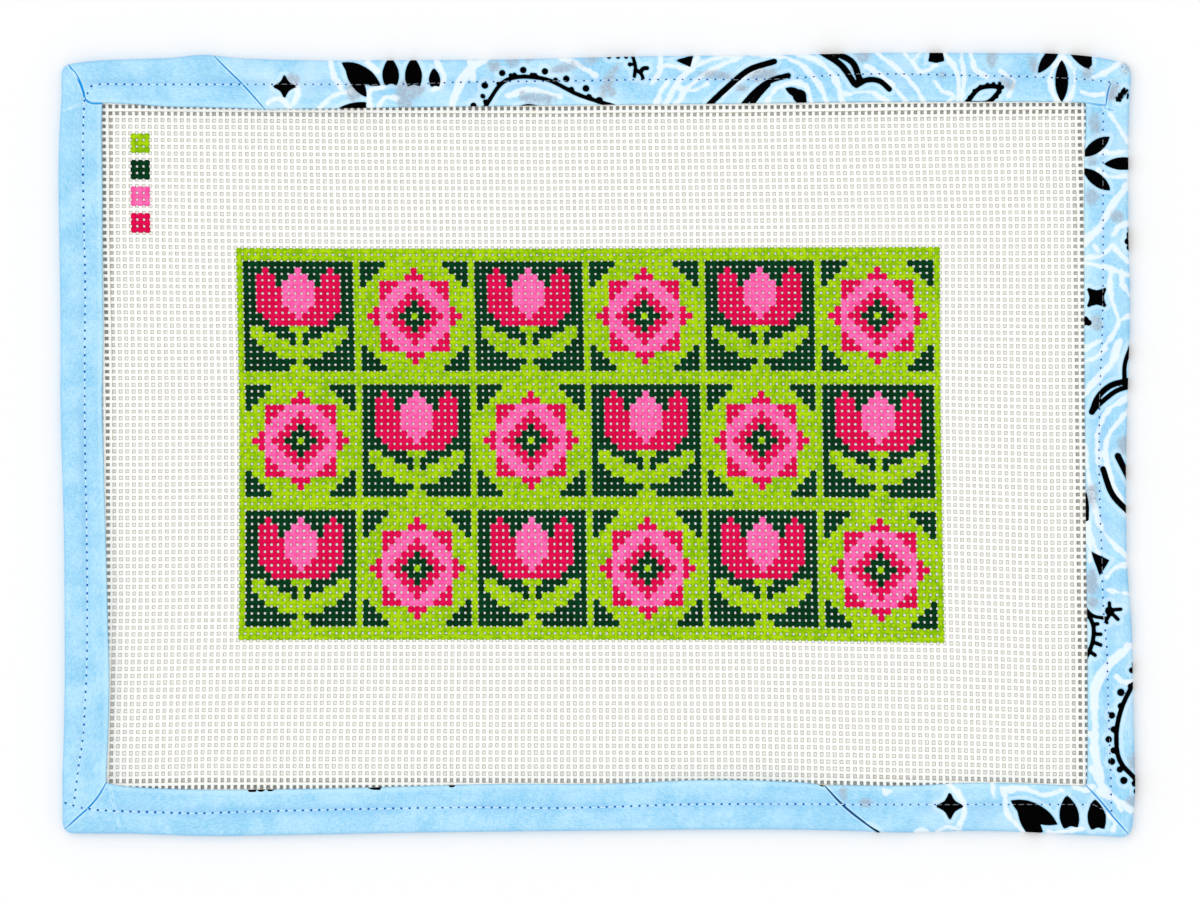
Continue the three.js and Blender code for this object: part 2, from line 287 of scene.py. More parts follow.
def thread_piece(name, along, first, last, seed):
    """A set of like threads as one mesh: four-sided strands with a ring at each crossing and
    one between. along is "down" for long threads or "across" for cross threads."""
    down = along == "down"

    def column_row(thread, cell):
        return (thread, cell) if down else (cell, thread)

    start, stop = (CROSS_FIRST, CROSS_LAST + 1) if down else (LONG_FIRST, LONG_LAST + 1)
    threads, steps = np.arange(first, last + 1), np.arange(2 * start, 2 * stop + 1)
    thread, step = np.meshgrid(threads, steps, indexing="ij")
    crossing = step % 2 == 1
    cell = np.minimum(step // 2, stop - 1)
    column, row = column_row(thread, cell)
    paint = paint_at(column, row)
    before = paint_at(*column_row(thread, cell - 1))
    painted = (paint != BARE) & (crossing | (before != BARE))
    x, y = grid_place(*column_row(thread + 0.5, step / 2))
    strays = wander(thread.shape, STRAY, seed)
    x, y = (x + strays, y) if down else (x, y + strays)
    over = np.where((column + row) % 2 == 0, 1, -1) * (1 if down else -1)
    z = CANVAS_MIDDLE + canvas_lift(x, y) + np.where(crossing, over * WEAVE_HEIGHT, 0)
    half = np.where(painted, np.where(crossing, *PAINTED_HALF), np.where(crossing, *BARE_HALF))
    half = half * (1 + wander(thread.shape, UNEVEN, seed + 1))
    middle = np.stack([x, y, z], -1)
    # Sideways runs so that a ring of four, taken in order, faces outwards.
    foot = half[..., None] * np.array([1, 0, 0] if down else [0, 1, 0])
    rise = np.array([0, 0, THREAD_HALF_HEIGHT])
    rings = [middle + TOP_SHARE * foot + rise, middle - TOP_SHARE * foot + rise]
    points = np.stack([*rings, middle - foot - rise, middle + foot - rise], -2).reshape(-1, 3)
    faces = tube_faces(np.arange(len(points)).reshape(*thread.shape, 4))
    # Foot points measure 1 and top points 0; on bare canvas the finish paints shade by this.
    low = np.tile([0.0, 0.0, 1.0, 1.0], thread.size)
    end_paints = [BARE] * 2 * len(threads)
    paints = np.append(np.repeat(paint[:, :-1, None], 4, 2).ravel(), end_paints)
    if not down:
        fill_points, fill_faces, fill_paints = paint_fills(first, last)
        faces += (fill_faces + len(points)).tolist()
        points = np.concatenate([points, fill_points])
        low = np.append(low, np.zeros(len(fill_points)))
        paints = np.append(paints, fill_paints)
    piece = new_piece(name, points, faces)
    piece.data.polygons.foreach_set("material_index", paints.astype(np.int32))
    add_measure(piece, "low", low)
    return piece


def linear(red, green, blue):
    """A colour as light, from its screen values."""
    shares = np.array([red, green, blue]) / 255
    light = np.where(shares <= 0.04045, shares / 12.92, ((shares + 0.055) / 1.055) ** 2.4)
    return (*light, 1)


class Number:
    """A number that varies over a surface. Arithmetic on it adds Math nodes to its finish."""

    def __init__(self, finish, socket):
        self.finish = finish
        self.socket = socket

    def maths(self, operation, *values):
        inputs = dict(enumerate(values))
        return self.finish.node("ShaderNodeMath", {"operation": operation}, inputs)

    def __add__(self, other):
        return self.maths("ADD", self, other)

    def __sub__(self, other):
        return self.maths("SUBTRACT", self, other)

    def __rsub__(self, other):
        return self.maths("SUBTRACT", other, self)

    def __mul__(self, other):
        return self.maths("MULTIPLY", self, other)

    def size(self):
        return self.maths("ABSOLUTE", self)

    def ramp(self, low, high):
        """0 below low and 1 above high, eased between."""
        settings = {"interpolation_type": "SMOOTHSTEP", "clamp": True}
        return self.finish.node("ShaderNodeMapRange", settings, {0: self, 1: low, 2: high})


class Finish:
    """A surface finish as one material."""

    def __init__(self, name, roughness, gloss):
        self.material = bpy.data.materials.new(name)
        self.material.use_nodes = True
        self.tree = self.material.node_tree
        self.shader = self.tree.nodes["Principled BSDF"]
        self.shader.inputs["Roughness"].default_value = roughness
        self.shader.inputs["Specular IOR Level"].default_value = gloss
        self.where = self.node("ShaderNodeTexCoord", {}, {}, "Object")

    def link(self, value, socket):
        if isinstance(value, Number):
            self.tree.links.new(value.socket, socket)
        else:
            socket.default_value = value

    def node(self, kind, settings, inputs, output=0):
        """Any node: its settings first, then its inputs by name or number."""
        made = self.tree.nodes.new(kind)
        for key, value in settings.items():
            setattr(made, key, value)
        for key, value in inputs.items():
            self.link(value, made.inputs[key])
        return Number(self, made.outputs[output])

    def measure(self, name):
        return self.node("ShaderNodeAttribute", {"attribute_name": name}, {}, 2)

    def noise(self, scale, detail=2, where=None):
        inputs = {"Vector": where or self.where, "Scale": scale, "Detail": detail}
        return self.node("ShaderNodeTexNoise", {}, inputs)

    def mix(self, share, first, second):
        """From one colour to another, each a node's or screen values of red, green and blue."""
        first, second = (c if isinstance(c, Number) else linear(*c) for c in (first, second))
        return self.node("ShaderNodeMix", {"data_type": "RGBA"}, {0: share, 6: first, 7: second}, 2)

    def colour(self, value):
        self.link(value, self.shader.inputs["Base Color"])

    def bump(self, height, distance, strength):
        inputs = {"Height": height, "Distance": distance, "Strength": strength}
        self.link(self.node("ShaderNodeBump", {}, inputs), self.shader.inputs["Normal"])


def thread_finish(name, dark, light, roughness=0.7, gloss=0.05, foot=None):
    """Cotton thread, bare or painted: mottled at the size of a crossing, with fibre bumps. On bare
    canvas, painted shade darkens each thread along its foot, where its sloping sides fall in shade."""
    finish = Finish(name, roughness, gloss)
    blotch = finish.noise(900).ramp(0.35, 0.65)
    slow = finish.noise(140).ramp(0.3, 0.7)
    colour = finish.mix(blotch * 0.7 + slow * 0.3, dark, light)
    # Painted shade: bare threads darken towards the foot colour along their sloping sides.
    if foot:
        colour = finish.mix(finish.measure("low").ramp(0.05, 0.5), colour, foot)
    finish.colour(colour)
    finish.bump(finish.noise(3500, 3), distance=0.0001, strength=0.3)
    return finish.material


# In the order of their numbers in the chart: bare canvas, then the paints.
CANVAS_FINISHES = [
    # Bare canvas: its foot colour is painted shade on the sloping sides of each thread.
    thread_finish("bare canvas", (251, 251, 246), (254, 254, 251), roughness=0.85, gloss=0.2,
                  foot=(212, 208, 188)),
    thread_finish("dark green paint", (0, 40, 12), (0, 62, 30)),
    thread_finish("lime paint", (120, 176, 0), (178, 216, 12)),
    thread_finish("pink paint", (245, 76, 156), (253, 116, 184)),
    thread_finish("crimson paint", (206, 0, 60), (228, 10, 86)),
]

THREAD_SETS = [
    {"name": "canvas_long_left", "along": "down", "first": LONG_FIRST, "last": 54, "seed": 1},
    {"name": "canvas_long_right", "along": "down", "first": 55, "last": LONG_LAST, "seed": 2},
    {"name": "canvas_cross_upper", "along": "across", "first": CROSS_FIRST, "last": 28, "seed": 3},
    {"name": "canvas_cross_lower", "along": "across", "first": 29, "last": CROSS_LAST, "seed": 4},
]
for threads in THREAD_SETS:
    piece = thread_piece(**threads)
    for finish in CANVAS_FINISHES:
        piece.data.materials.append(finish)
    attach(piece, "root")
    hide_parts("canvas")
    # The threads cover this share of their half of the canvas; the rest is open.
    half, share = ((0.159, 0.222), 0.7) if threads["along"] == "down" else ((0.305, 0.111), 0.95)
    share * half[0] * half[1]

# ---------------------------------------------------------------------------------------------
# Binding: two strips of pale blue cotton, one plain and one printed, folded over the edge of the
# canvas and pressed. They turn each corner in a mitre, where one fold lies on the other, and
# slanting seams join them. The topstitching draws them in along its line.

BINDING_WIDTH = 13.5
# Each side is measured clockwise from its middle, outwards from the panel's centre lines. A row
# gives the place along it, and how far the fold and the free edge stand out from straight. The
# sides stand in clockwise order, which on_side and along_side use.
SIDE_HALF = {"top": 116, "right": 160, "bottom": 116, "left": 160}
SIDES = {
    "top": [
        (-157, -1.7, -0.1), (-151, -1.0, -0.1), (-140, -0.5, -0.5), (-128, -0.1, -1.3),
        (-117, 0.8, -1.5), (-109, 0.0, -1.7), (-89, -0.8, -1.9), (-59, -0.8, -1.5),
        (-29, -0.6, -1.1), (16, 0.4, -0.6), (52, 0.7, -0.2), (85, 1.4, 0.2), (121, 1.3, 0.2),
        (139, 1.1, 0.2), (149, 0.2, -0.1), (157, -1.3, -0.3),
    ],
    "right": [
        (-111, 0.1, 0.4), (-101, -0.5, 0.2), (-82, -0.7, -0.5), (-64, -0.7, -0.5),
        (-42, -0.2, -0.5), (-18, -0.8, -0.4), (6, -1.4, -0.2), (18, -1.4, -0.1), (36, -1.1, 0.1),
        (54, 0.2, 0.4), (78, 0.8, 0.5), (95, 1.2, 0.5), (101, 1.4, 0.5), (108, 1.1, 0.5),
        (113, 0.6, 0.5), (117, 0.2, 0.5),
    ],
    "bottom": [
        (-159, 1.85, 0.1), (-154, 1.45, 0.1), (-147, 1.1, 0.0), (-139, 0.8, -0.4),
        (-129, 0.2, -0.9), (-112, -0.2, -1.1), (-93, 0.3, -0.3), (-76, -0.2, -0.5),
        (-58, -0.6, -1.5), (-34, -0.6, -2.0), (-4, -0.3, -0.9), (29, 0.0, -0.8), (59, 0.4, 0.0),
        (89, 1.0, 0.7), (119, 1.3, 0.9), (140, 0.6, 0.3),
    ],
    "left": [
        (-98, 0.2, 0.5), (-86, -0.2, -0.1), (-74, -0.4, -0.4), (-50, -0.4, 0.1), (-26, -0.2, 0.7),
        (-2, 0.5, 1.4), (10, 0.8, 1.7), (34, 0.8, 1.4), (58, 1.1, 1.6), (82, 1.4, 1.7),
        (94, 1.1, 1.9), (104, 0.5, 1.8),
    ],
}
# The panel's centre in the frame, from the centre of those sides.
CENTRE = np.array([0.188, -0.059])

# Where a strip ends on a side, from its fold to its free edge: at a seam or in a mitre.
ENDS = {
    ("top", "upper seam"): [(-114.7, 116.5), (-110.2, 112), (-105.9, 107.8), (-99.2, 100.3)],
    ("bottom", "lower seam"): [(84.6, -116.5), (81.5, -114.2), (74, -108.2), (68.3, -102.2)],
    ("top", "top left"): [
        (-158.1, 113.6), (-156, 111.0), (-154.5, 108), (-153.6, 105.4), (-153, 103.3),
        (-151.6, 102.5),
    ],
    ("left", "top left"): [(-158.3, 113.7), (-156.1, 109.6), (-153.1, 106), (-148, 102.1)],
    ("top", "top right"): [
        (159.9, 112.1), (157.7, 110.2), (154.1, 108.2), (153.3, 105.7), (152.6, 101.6),
    ],
    ("right", "top right"): [(159.9, 112.1), (153.2, 107.8), (146.6, 101.9)],
    ("right", "bottom right"): [
        (159.4, -116.8), (157.3, -114.4), (155.1, -111.9), (152.1, -108.1), (149.4, -105),
        (146.8, -102.3),
    ],
    ("left", "bottom left"): [
        (-159.2, -115.3), (-156, -112.3), (-152.1, -108.8), (-149.5, -105.8), (-147.4, -102.4),
        (-146.8, -101.3),
    ],
}
ENDS["bottom", "bottom right"] = ENDS["right", "bottom right"]
ENDS["bottom", "bottom left"] = ENDS["left", "bottom left"]
# The side whose cloth lies on top in each mitre.
OVER = {"top left": "top", "top right": "top", "bottom right": "right", "bottom left": "left"}
# Other folds and puckers near the corners, drawn only as lines of painted shade with a painted
# highlight beside them: half their width, then places along them.
CREASES = [
    (-0.02, (-145.6, -103.3), (-145, -106.3), (-143.5, -112.1), (-142.9, -114.4)),
    (0.2, (-152.6, 102.6), (-151.4, 102.2), (-149.5, 102.1), (-147.2, 102.1)),
    (-0.1, (-159.4, 100.1), (-157, 100.9), (-153.8, 102.2)),
    (0.15, (152.2, 100.7), (155.4, 99.9)),
    (0.12, (154.1, 108.2), (153.3, 105.7), (152.6, 101.6)),
    (0.05, (158.6, 111.2), (157.4, 112.9), (158.9, 114.1)),
    (0.2, (147, 102.2), (150, 101.7), (152.6, 101.5)),
]
# How each end of a strip is drawn: as a dark seam line or a blue fold line, both painted shade,
# and its half width.
END_LINES = {
    "upper seam": ("fold", 0.13), "lower seam": ("seam", 0.24), "top left": ("fold", 0.3),
    "top right": ("fold", -0.3), "bottom right": ("fold", 0.16), "bottom left": ("fold", 0.16),
}

# Topstitching: its three runs, corner to corner.
STITCH_RUNS = [
    [
        (-156.4, -108.4), (-156.3, -106.4), (-155.2, -97), (-153.9, -88), (-153.3, -79),
        (-152.8, -68.7), (-152.5, -45.6), (-152.8, -18.6), (-153.1, -7.1), (-153.3, 23.8),
        (-153.1, 49.9), (-153.4, 62.8), (-153.7, 73.3), (-153.7, 97), (-153.5, 101.4),
        (-153.3, 103.7), (-152.5, 105.0), (-151.5, 106.9), (-150.5, 107.5), (-148.9, 107.8),
        (-147, 107.9), (-143, 107.9), (-137, 107.8), (-125, 107.8), (-99.7, 107.9), (-51.4, 108.1),
        (-44.5, 108.4), (-3.4, 109.0), (14.0, 109.3), (61.7, 109.9), (68.6, 110.5), (116.0, 110.5),
        (128.9, 110.2), (145.4, 109.4), (151.4, 108.9), (156.9, 108.0),
    ],
    [
        (151.9, 101.6), (151.8, 95), (151.8, 75), (151.8, 49.6), (151.4, 28.3), (151.1, 22.6),
        (151.1, -25.5), (151.4, -30.9), (151.7, -43.8), (152.0, -50.7), (152.9, -60.6),
        (153.2, -70.2), (153.5, -81.9), (154.1, -97.8), (154.3, -109.0),
    ],
    [
        (152.8, -109.5), (151.1, -109.1), (149.0, -108.0), (145.4, -107.9), (143, -107.9),
        (137, -107.9), (120, -107.9), (74.6, -107.9), (67.7, -107.8), (47.6, -107.8),
        (27.2, -107.9), (16.7, -108.2), (8.6, -108.5), (-7.9, -109.0), (-38.5, -108.8),
        (-61.9, -109.1), (-76.6, -109.4), (-89.8, -109.7), (-102.4, -110.0), (-121.3, -110.6),
        (-131.2, -110.3), (-140.8, -110.0), (-149.6, -109.6), (-154.7, -108.8), (-158.3, -107.6),
    ],
]
STITCH_LENGTH = 2.46

# The folded strip, cut across: shares of its width from the fold, heights, and how far the point
# belongs to the front leg. It runs along the foot, round the fold, over the front, round the free
# edge, and back through the inside.
FRONT_TOP, FRONT_UNDER, BACK_TOP = 3.6, 2.7, 0.95
FOLD_REACH, FOLD_POINTS, FOLD_SQUARENESS = 0.1, 11, 0.8
FRONT_START, FRONT_STOP, FRONT_POINTS = FOLD_REACH + 0.012, 0.965, 30
STITCH_SHARE = 0.53
FOOT_SHARES = [0.94, 0.74, 0.62, 0.565, 0.535, 0.5, 0.44, 0.3, FRONT_START]
FREE_EDGE = [(0.985, -0.07), (0.998, -0.25), (1.0, -0.5), (0.99, -0.78)]
INSIDE = [(share, FRONT_UNDER) for share in (0.96, 0.7, 0.4, 0.13)] + [(0.085, 1.8)]
INSIDE += [(share, BACK_TOP) for share in (0.13, 0.4, 0.7, 0.93)] + [(0.965, 0.6), (0.965, 0.25)]

# Stations near an end of a strip: how far in each lies on the front and at the back, and how much
# the front stands up. The upper fold of a mitre curls over the lower one.
STATION_STEP = 0.5
OVER_STATIONS = [
    (0.7, 0.0, 0.03), (0.2, 0.12, 0.05), (0.0, 0.16, 0.13), (0.03, 0.24, 0.23), (0.16, 0.34, 0.32),
    (0.38, 0.5, 0.38), (0.7, 0.7, 0.4),
]
UNDER_STATIONS = [
    (-0.6, 0.08, -0.05), (-0.1, 0.2, 0.0), (0.15, 0.34, 0.0), (0.4, 0.5, 0.0), (0.7, 0.7, 0.0),
]
SEAM_STATIONS = [
    (0.02, 0.02, -0.4), (0.06, 0.06, -0.22), (0.15, 0.15, -0.1), (0.35, 0.35, -0.04),
    (0.7, 0.7, 0.0),
]
OVER_LIFT, OVER_FADE = 0.4, 14
CORNER_RADIUS = 3
# What an end adds to the straight strip fades over this distance along it. At the fold, up to about
# this share of the width, it only rounds the corner.
END_FADE, FOLD_FADE = 4, 0.1
# The relief of the pressed cloth: the trough of the stitching on the front and on the foot, the
# pucker at each stitch, and the swell of the cloth outside and inside the stitching. On the front
# it sets in over a share of the width from the fold.
TROUGH_FRONT, TROUGH_FOOT, TROUGH_HALF = 0.38, 0.45, 0.8
PUCKER_DEPTH, PUCKER_HALF = 0.07, 1.9
SWELL_OUTER, SWELL_SHAPE, SWELL_INNER = 0.32, 1.3, 0.1
RELIEF_START = 0.12
# Waves in the cloth: their length and height.
WAVES = [(61, 0.09), (37, 0.07), (23, 0.05), (13, 0.035), (8, 0.025), (5.2, 0.018)]
# Each is the sum of three waves in any direction, made lower by this to keep its height.
WAVES_OF_EACH, WAVE_SPLIT, WAVE_SEED = 3, 1.7, 11
STRIPS = {
    "binding_plain": [
        ("bottom", "lower seam", "bottom left"),
        ("left", "bottom left", "top left"),
        ("top", "top left", "upper seam"),
    ],
    "binding_print": [
        ("top", "upper seam", "top right"),
        ("right", "top right", "bottom right"),
        ("bottom", "bottom right", "lower seam"),
    ],
}


def section():
    """The points of the strip's section, as shares, heights and front leg shares."""
    turn = np.linspace(-np.pi / 2, np.pi / 2, FOLD_POINTS + 2)[1:-1]
    fold_shares = FOLD_REACH * (1 - np.cos(turn) ** FOLD_SQUARENESS)
    fold_heights = FRONT_TOP / 2 * (1 + np.sign(turn) * np.abs(np.sin(turn)) ** FOLD_SQUARENESS)
    front_shares = np.linspace(FRONT_START, FRONT_STOP, FRONT_POINTS)
    points = [(share, 0, 0) for share in FOOT_SHARES]
    points += zip(fold_shares, fold_heights, eased(turn / np.pi + 0.5))
    points += [(share, FRONT_TOP, 1) for share in front_shares]
    points += [(share, FRONT_TOP + height, 1) for share, height in FREE_EDGE]
    points += [(share, height, 0) for share, height in INSIDE]
    return np.array(points).T.copy()


SHARE, HEIGHT, FRONT = section()
# How far across the cloth each point lies, and where the fold, free edge and stitching are.
ACROSS = np.cumsum(np.hypot(np.diff(SHARE, prepend=SHARE[0]) * BINDING_WIDTH,
                            np.diff(HEIGHT, prepend=HEIGHT[0])))
FOLD_PLACE = ACROSS[SHARE.argmin()]
EDGE_PLACE = ACROSS[SHARE.argmax()]
STITCH_PLACE = ACROSS[np.abs(SHARE - STITCH_SHARE + 1 - FRONT).argmin()]


def on_side(side, at, out):
    """A point of the panel from its place along a side and its distance out."""
    x, y = [(at, out), (out, -at), (-at, -out), (-out, at)][list(SIDES).index(side)]
    return np.stack([x, y], -1) + CENTRE


def along_side(side, point):
    """The reverse of on_side."""
    x, y = np.moveaxis(np.asarray(point) - CENTRE, -1, 0)
    return [(x, y), (-y, x), (-x, -y), (y, -x)][list(SIDES).index(side)]


def on_curve(knots, values, at):
    """Values at some knots, read between them on a smooth curve."""
    slopes = np.gradient(values, knots)
    low = np.clip(np.searchsorted(knots, at, side="right") - 1, 0, len(knots) - 2)
    gap = knots[low + 1] - knots[low]
    t = np.clip((at - knots[low]) / gap, 0, 1)
    start = (1 + 2 * t) * (1 - t) ** 2 * values[low] + t * (1 - t) ** 2 * gap * slopes[low]
    stop = t * t * (3 - 2 * t) * values[low + 1] + t * t * (t - 1) * gap * slopes[low + 1]
    return start + stop


def far_along(line):
    """How far along a bent line each of its places lies."""
    return np.append(0, np.cumsum(np.linalg.norm(np.diff(line, axis=0), axis=1)))


# Steps along a smooth line, in millimetres: for the print, and for stitching, seams and folds.
STEP, FINE_STEP = 0.6, 0.5


def smooth_line(places, step=STEP):
    """A run of places on a smooth curve through a few."""
    places = np.array(places, float)
    if len(places) == 2:
        return places
    knots = far_along(places)
    at = np.linspace(0, knots[-1], max(3, round(knots[-1] / step)))
    return np.stack([on_curve(knots, column, at) for column in places.T], -1)


def straight_out(side, at, share):
    """How far out a share of the strip's width lies, away from the corners."""
    places, folds, edges = np.array(SIDES[side]).T
    fold = SIDE_HALF[side] + on_curve(places, folds, at)
    edge = SIDE_HALF[side] - BINDING_WIDTH + on_curve(places, edges, at)
    return fold + share * (edge - fold)


def strip_end(side, name):
    """An end of a strip on a side: for each section point its place along and out, and what the
    end adds to where the straight strip would lie."""
    at, out = along_side(side, smooth_line(ENDS[side, name]))
    end_out = out[0] + SHARE * (out[-1] - out[0])
    order = np.argsort(out)
    end_at = np.interp(end_out, out[order], at[order])
    return end_at, end_out - straight_out(side, end_at, SHARE)


def end_stations(side, name):
    if name not in OVER:
        return np.array(SEAM_STATIONS)
    return np.array(OVER_STATIONS if OVER[name] == side else UNDER_STATIONS)


def patch(side, first, last):
    """One side's stretch of a strip: rows of section points, with the lift of the front leg."""
    ends = [strip_end(side, first), strip_end(side, last)]
    stations = [end_stations(side, first), end_stations(side, last)]
    in_from = [rows[:, 0, None] * FRONT + rows[:, 1, None] * (1 - FRONT) for rows in stations]
    start = ends[0][0] + in_from[0]
    stop = (ends[1][0] - in_from[1])[::-1]
    count = round(np.abs(stop[0] - start[-1]).max() / STATION_STEP)
    between = start[-1] + (stop[0] - start[-1]) * np.linspace(0, 1, count + 1)[1:-1, None]
    at = np.concatenate([start, between, stop])
    out = straight_out(side, at, SHARE)
    lift = np.zeros(at.shape)
    rows = [slice(0, len(start)), slice(len(at) - len(stop), len(at))]
    for (end_at, extra), station, name, row in zip(ends, stations, (first, last), rows):
        away = np.abs(at - end_at)
        if name in OVER:
            away[(at < end_at) if name == first else (at > end_at)] = 0
        rounded = 1 - np.sqrt(1 - np.clip(1 - away / CORNER_RADIUS, 0, 1) ** 2)
        at_fold = np.exp(-SHARE / FOLD_FADE)
        out = out + extra * (rounded * at_fold + np.exp(-away / END_FADE) * (1 - at_fold))
        if name in OVER and OVER[name] == side:
            lift = np.maximum(lift, OVER_LIFT * (1 - eased(away / OVER_FADE)))
        lift[row] = (station[:, 2] if row.start == 0 else station[::-1, 2])[:, None]
    return on_side(side, at, out), lift


def distance_to_line(points, line):
    """The distance of each point from a bent line, and the distance along it of the nearest
    place."""
    line = np.array(line, float)
    legs = np.linalg.norm(np.diff(line, axis=0), axis=1)
    best = np.full(len(points), np.inf)
    along = np.zeros(len(points))
    for tail, tip, leg, start in zip(line, line[1:], legs, far_along(line)):
        share = np.clip(((points - tail) @ (tip - tail)) / leg**2, 0, 1)
        away = np.linalg.norm(points - tail - share[:, None] * (tip - tail), axis=1)
        nearer = away < best
        best = np.where(nearer, away, best)
        along = np.where(nearer, start + share * leg, along)
    return best, along


def nearest_stitching(points):
    """The distance of each point from the stitching, and the distance along it."""
    runs = np.array([distance_to_line(points, run) for run in STITCH_RUNS])
    return np.take_along_axis(runs, runs[:, :1].argmin(0)[None], 0)[0]


def cloth_waves(points):
    """Soft unevenness of pressed cotton, up to about a quarter of a millimetre."""
    random = np.random.default_rng(WAVE_SEED)
    height = np.zeros(len(points))
    for length, size in WAVES:
        for _ in range(WAVES_OF_EACH):
            turn, phase = random.uniform(0, 2 * np.pi, 2)
            towards = np.array([math.cos(turn), math.sin(turn)])
            height += size / WAVE_SPLIT * np.sin(points @ towards * 2 * np.pi / length + phase)
    return height


def strip_piece(name):
    """The whole strip as one closed mesh, with its cloth coordinates as a UV map."""
    patches = [patch(*stretch) for stretch in STRIPS[name]]
    flat = np.concatenate([places for places, _ in patches])
    lift = np.concatenate([lifts for _, lifts in patches]).ravel()
    count, ring = flat.shape[:2]
    places = flat.reshape(-1, 2)
    share, height, front = (np.tile(row, count) for row in (SHARE, HEIGHT, FRONT))
    away, along = nearest_stitching(places)
    trough = np.exp(-((away / TROUGH_HALF) ** 2))
    pucker = np.cos(2 * np.pi * along / STITCH_LENGTH) * np.exp(-((away / PUCKER_HALF) ** 2))
    outer = np.clip(share / STITCH_SHARE, 0, 1)
    inner = np.clip((share - STITCH_SHARE) / (1 - STITCH_SHARE), 0, 1)
    swell = SWELL_OUTER * np.sin(np.pi * outer) ** SWELL_SHAPE + SWELL_INNER * np.sin(np.pi * inner)
    rise = lift + swell + cloth_waves(places) - TROUGH_FRONT * trough - PUCKER_DEPTH * pucker
    foot = (height == 0) & (share > FOLD_REACH)
    height = height + front * eased(share / RELIEF_START) * rise
    height = height + np.where(foot, TROUGH_FOOT * trough, 0)
    faces = tube_faces(np.arange(len(places)).reshape(count, ring))
    strip = new_piece("cotton_" + name, np.column_stack([places, height]), faces)
    # Cloth coordinates, in metres along and across the strip.
    run = far_along(flat[:, ring // 2])
    cloth = np.stack(np.meshgrid(run, ACROSS, indexing="ij"), -1).reshape(-1, 2) / 1000
    corners = np.empty(len(strip.data.loops), np.int32)
    strip.data.loops.foreach_get("vertex_index", corners)
    strip.data.uv_layers.new(name="cloth").data.foreach_set("uv", cloth[corners].ravel())
    return strip, places


# A drawn line tapers towards both of its ends, but not within this share of its length from them.
TAPER_END = 0.02


def line_measure(points, kind):
    """How far each point is from the nearest seam line, or from the nearest fold or crease."""
    lines = [
        (END_LINES[name][1], *line)
        for (side, name), line in ENDS.items()
        if OVER.get(name, side) == side and END_LINES[name][0] == kind
    ]
    measures = []
    for half, *line in lines + (CREASES if kind == "fold" else []):
        fine_line = smooth_line(line, FINE_STEP)
        away, along = distance_to_line(points, fine_line)
        share = np.clip(along / far_along(fine_line)[-1], TAPER_END, 1 - TAPER_END)
        measures.append(away - half * np.sin(np.pi * share) ** 0.5)
    return np.minimum.reduce(measures)


# Print: black motifs, white scrolls and grey shadows, in millimetres. Each motif is its sizes,
# then its turn in degrees if it has one, then its places. Some scraps show on the plain strip.
BLACK_STROKES = [
    (0.63, (-33.7, 100.6), (-27.1, 109), (-15.7, 109.5), (-5.3, 104.7), (5.3, 101.3)),
    (0.39, (-24.1, 100.7), (-20.5, 101.6), (-16.6, 100.9)),
    (0.9, (33.8, 101.8), (39.6, 107.2), (45.8, 112.2), (53.3, 114.7)),
    (0.84, (44.3, 102.1), (48, 106), (52.4, 109), (57.5, 110.5)),
    (0.75, (46.7, 102.1), (48.8, 104.8), (51.5, 107.8)),
    (0.96, (67.7, 117.4), (73.3, 113.6), (77.3, 108.1)),
    (0.96, (71.3, 117.4), (76.7, 114.4), (79.1, 108.7)),
    (0.84, (77.9, 107.5), (81.2, 109.2), (84.9, 108.8), (87.8, 106.4)),
    (0.54, (10.8, 116.5), (11.7, 113.3), (11.4, 110.2)),
    (0.54, (12.2, 112), (13.4, 111.1), (14, 109.6)),
    (0.66, (13.4, 111.7), (14, 112.6), (15.2, 112.7)),
    (0.72, (110.9, 102.4), (115.2, 106.8), (120.8, 106.7), (117.6, 102.6), (111.5, 102.1)),
    (0.69, (160.1, 29.2), (158.3, 23.8), (158.3, 18.1)),
    (0.9, (158.9, 19), (154.1, 17.6), (150.4, 14.3), (148.4, 9.7)),
    (0.75, (160.4, 17.6), (155.8, 16), (151.9, 13.1), (148.4, 9.7)),
    (0.9, (150.5, 13), (148.5, 9.7)), (0.99, (156.2, -3.5), (157.4, -5.9), (160.1, -11)),
    (0.9, (151.8, -7.4), (154.6, -15), (160.1, -20.9)),
    (0.67, (146.3, -14.9), (146.9, -18.2), (146.9, -22.4)),
    (0.54, (146.3, -49.1), (148.9, -51.4), (152.3, -52.1)),
    (0.66, (146.6, -49.7), (148.9, -54.5), (148.5, -59.8), (146.3, -64.7)),
    (0.6, (148.7, -53.9), (150.2, -53.8)), (0.6, (149.3, -56.9), (151.1, -56.9)),
    (0.6, (149, -59.3), (151.1, -60.1)), (0.6, (147.8, -62), (149.4, -63.2)),
    (0.72, (160.7, -71.9), (157.3, -79.1), (155.8, -86.8), (156.8, -94.7), (161.9, -100.7)),
    (0.54, (153.7, -47.5), (153.8, -49.4)), (0.57, (154.1, -49.6), (157.1, -49.4)),
    (0.6, (154.1, -50.3), (156.2, -52.4)), (0.6, (154.2, -50.3), (152.9, -52.4)),
    (0.51, (152.6, -52.4), (153, -53.5)), (0.66, (156.2, 103.2), (157, 104.3)),
    (0.45, (157.5, 105.3), (158.1, 106.5)), (0.3, (158.3, 105.7), (158.2, 104.8)),
    (0.45, (158.8, 106.2), (159.1, 105.9)), (0.33, (159.3, 104.8), (159.1, 103.7)),
    (1.5, (146.9, 118.3), (147, 114.2)), (1.5, (61.4, 103.9), (61.7, 100.9)),
    (0.45, (81.5, -114.5), (83, -115.4), (84.5, -116.3)),
]
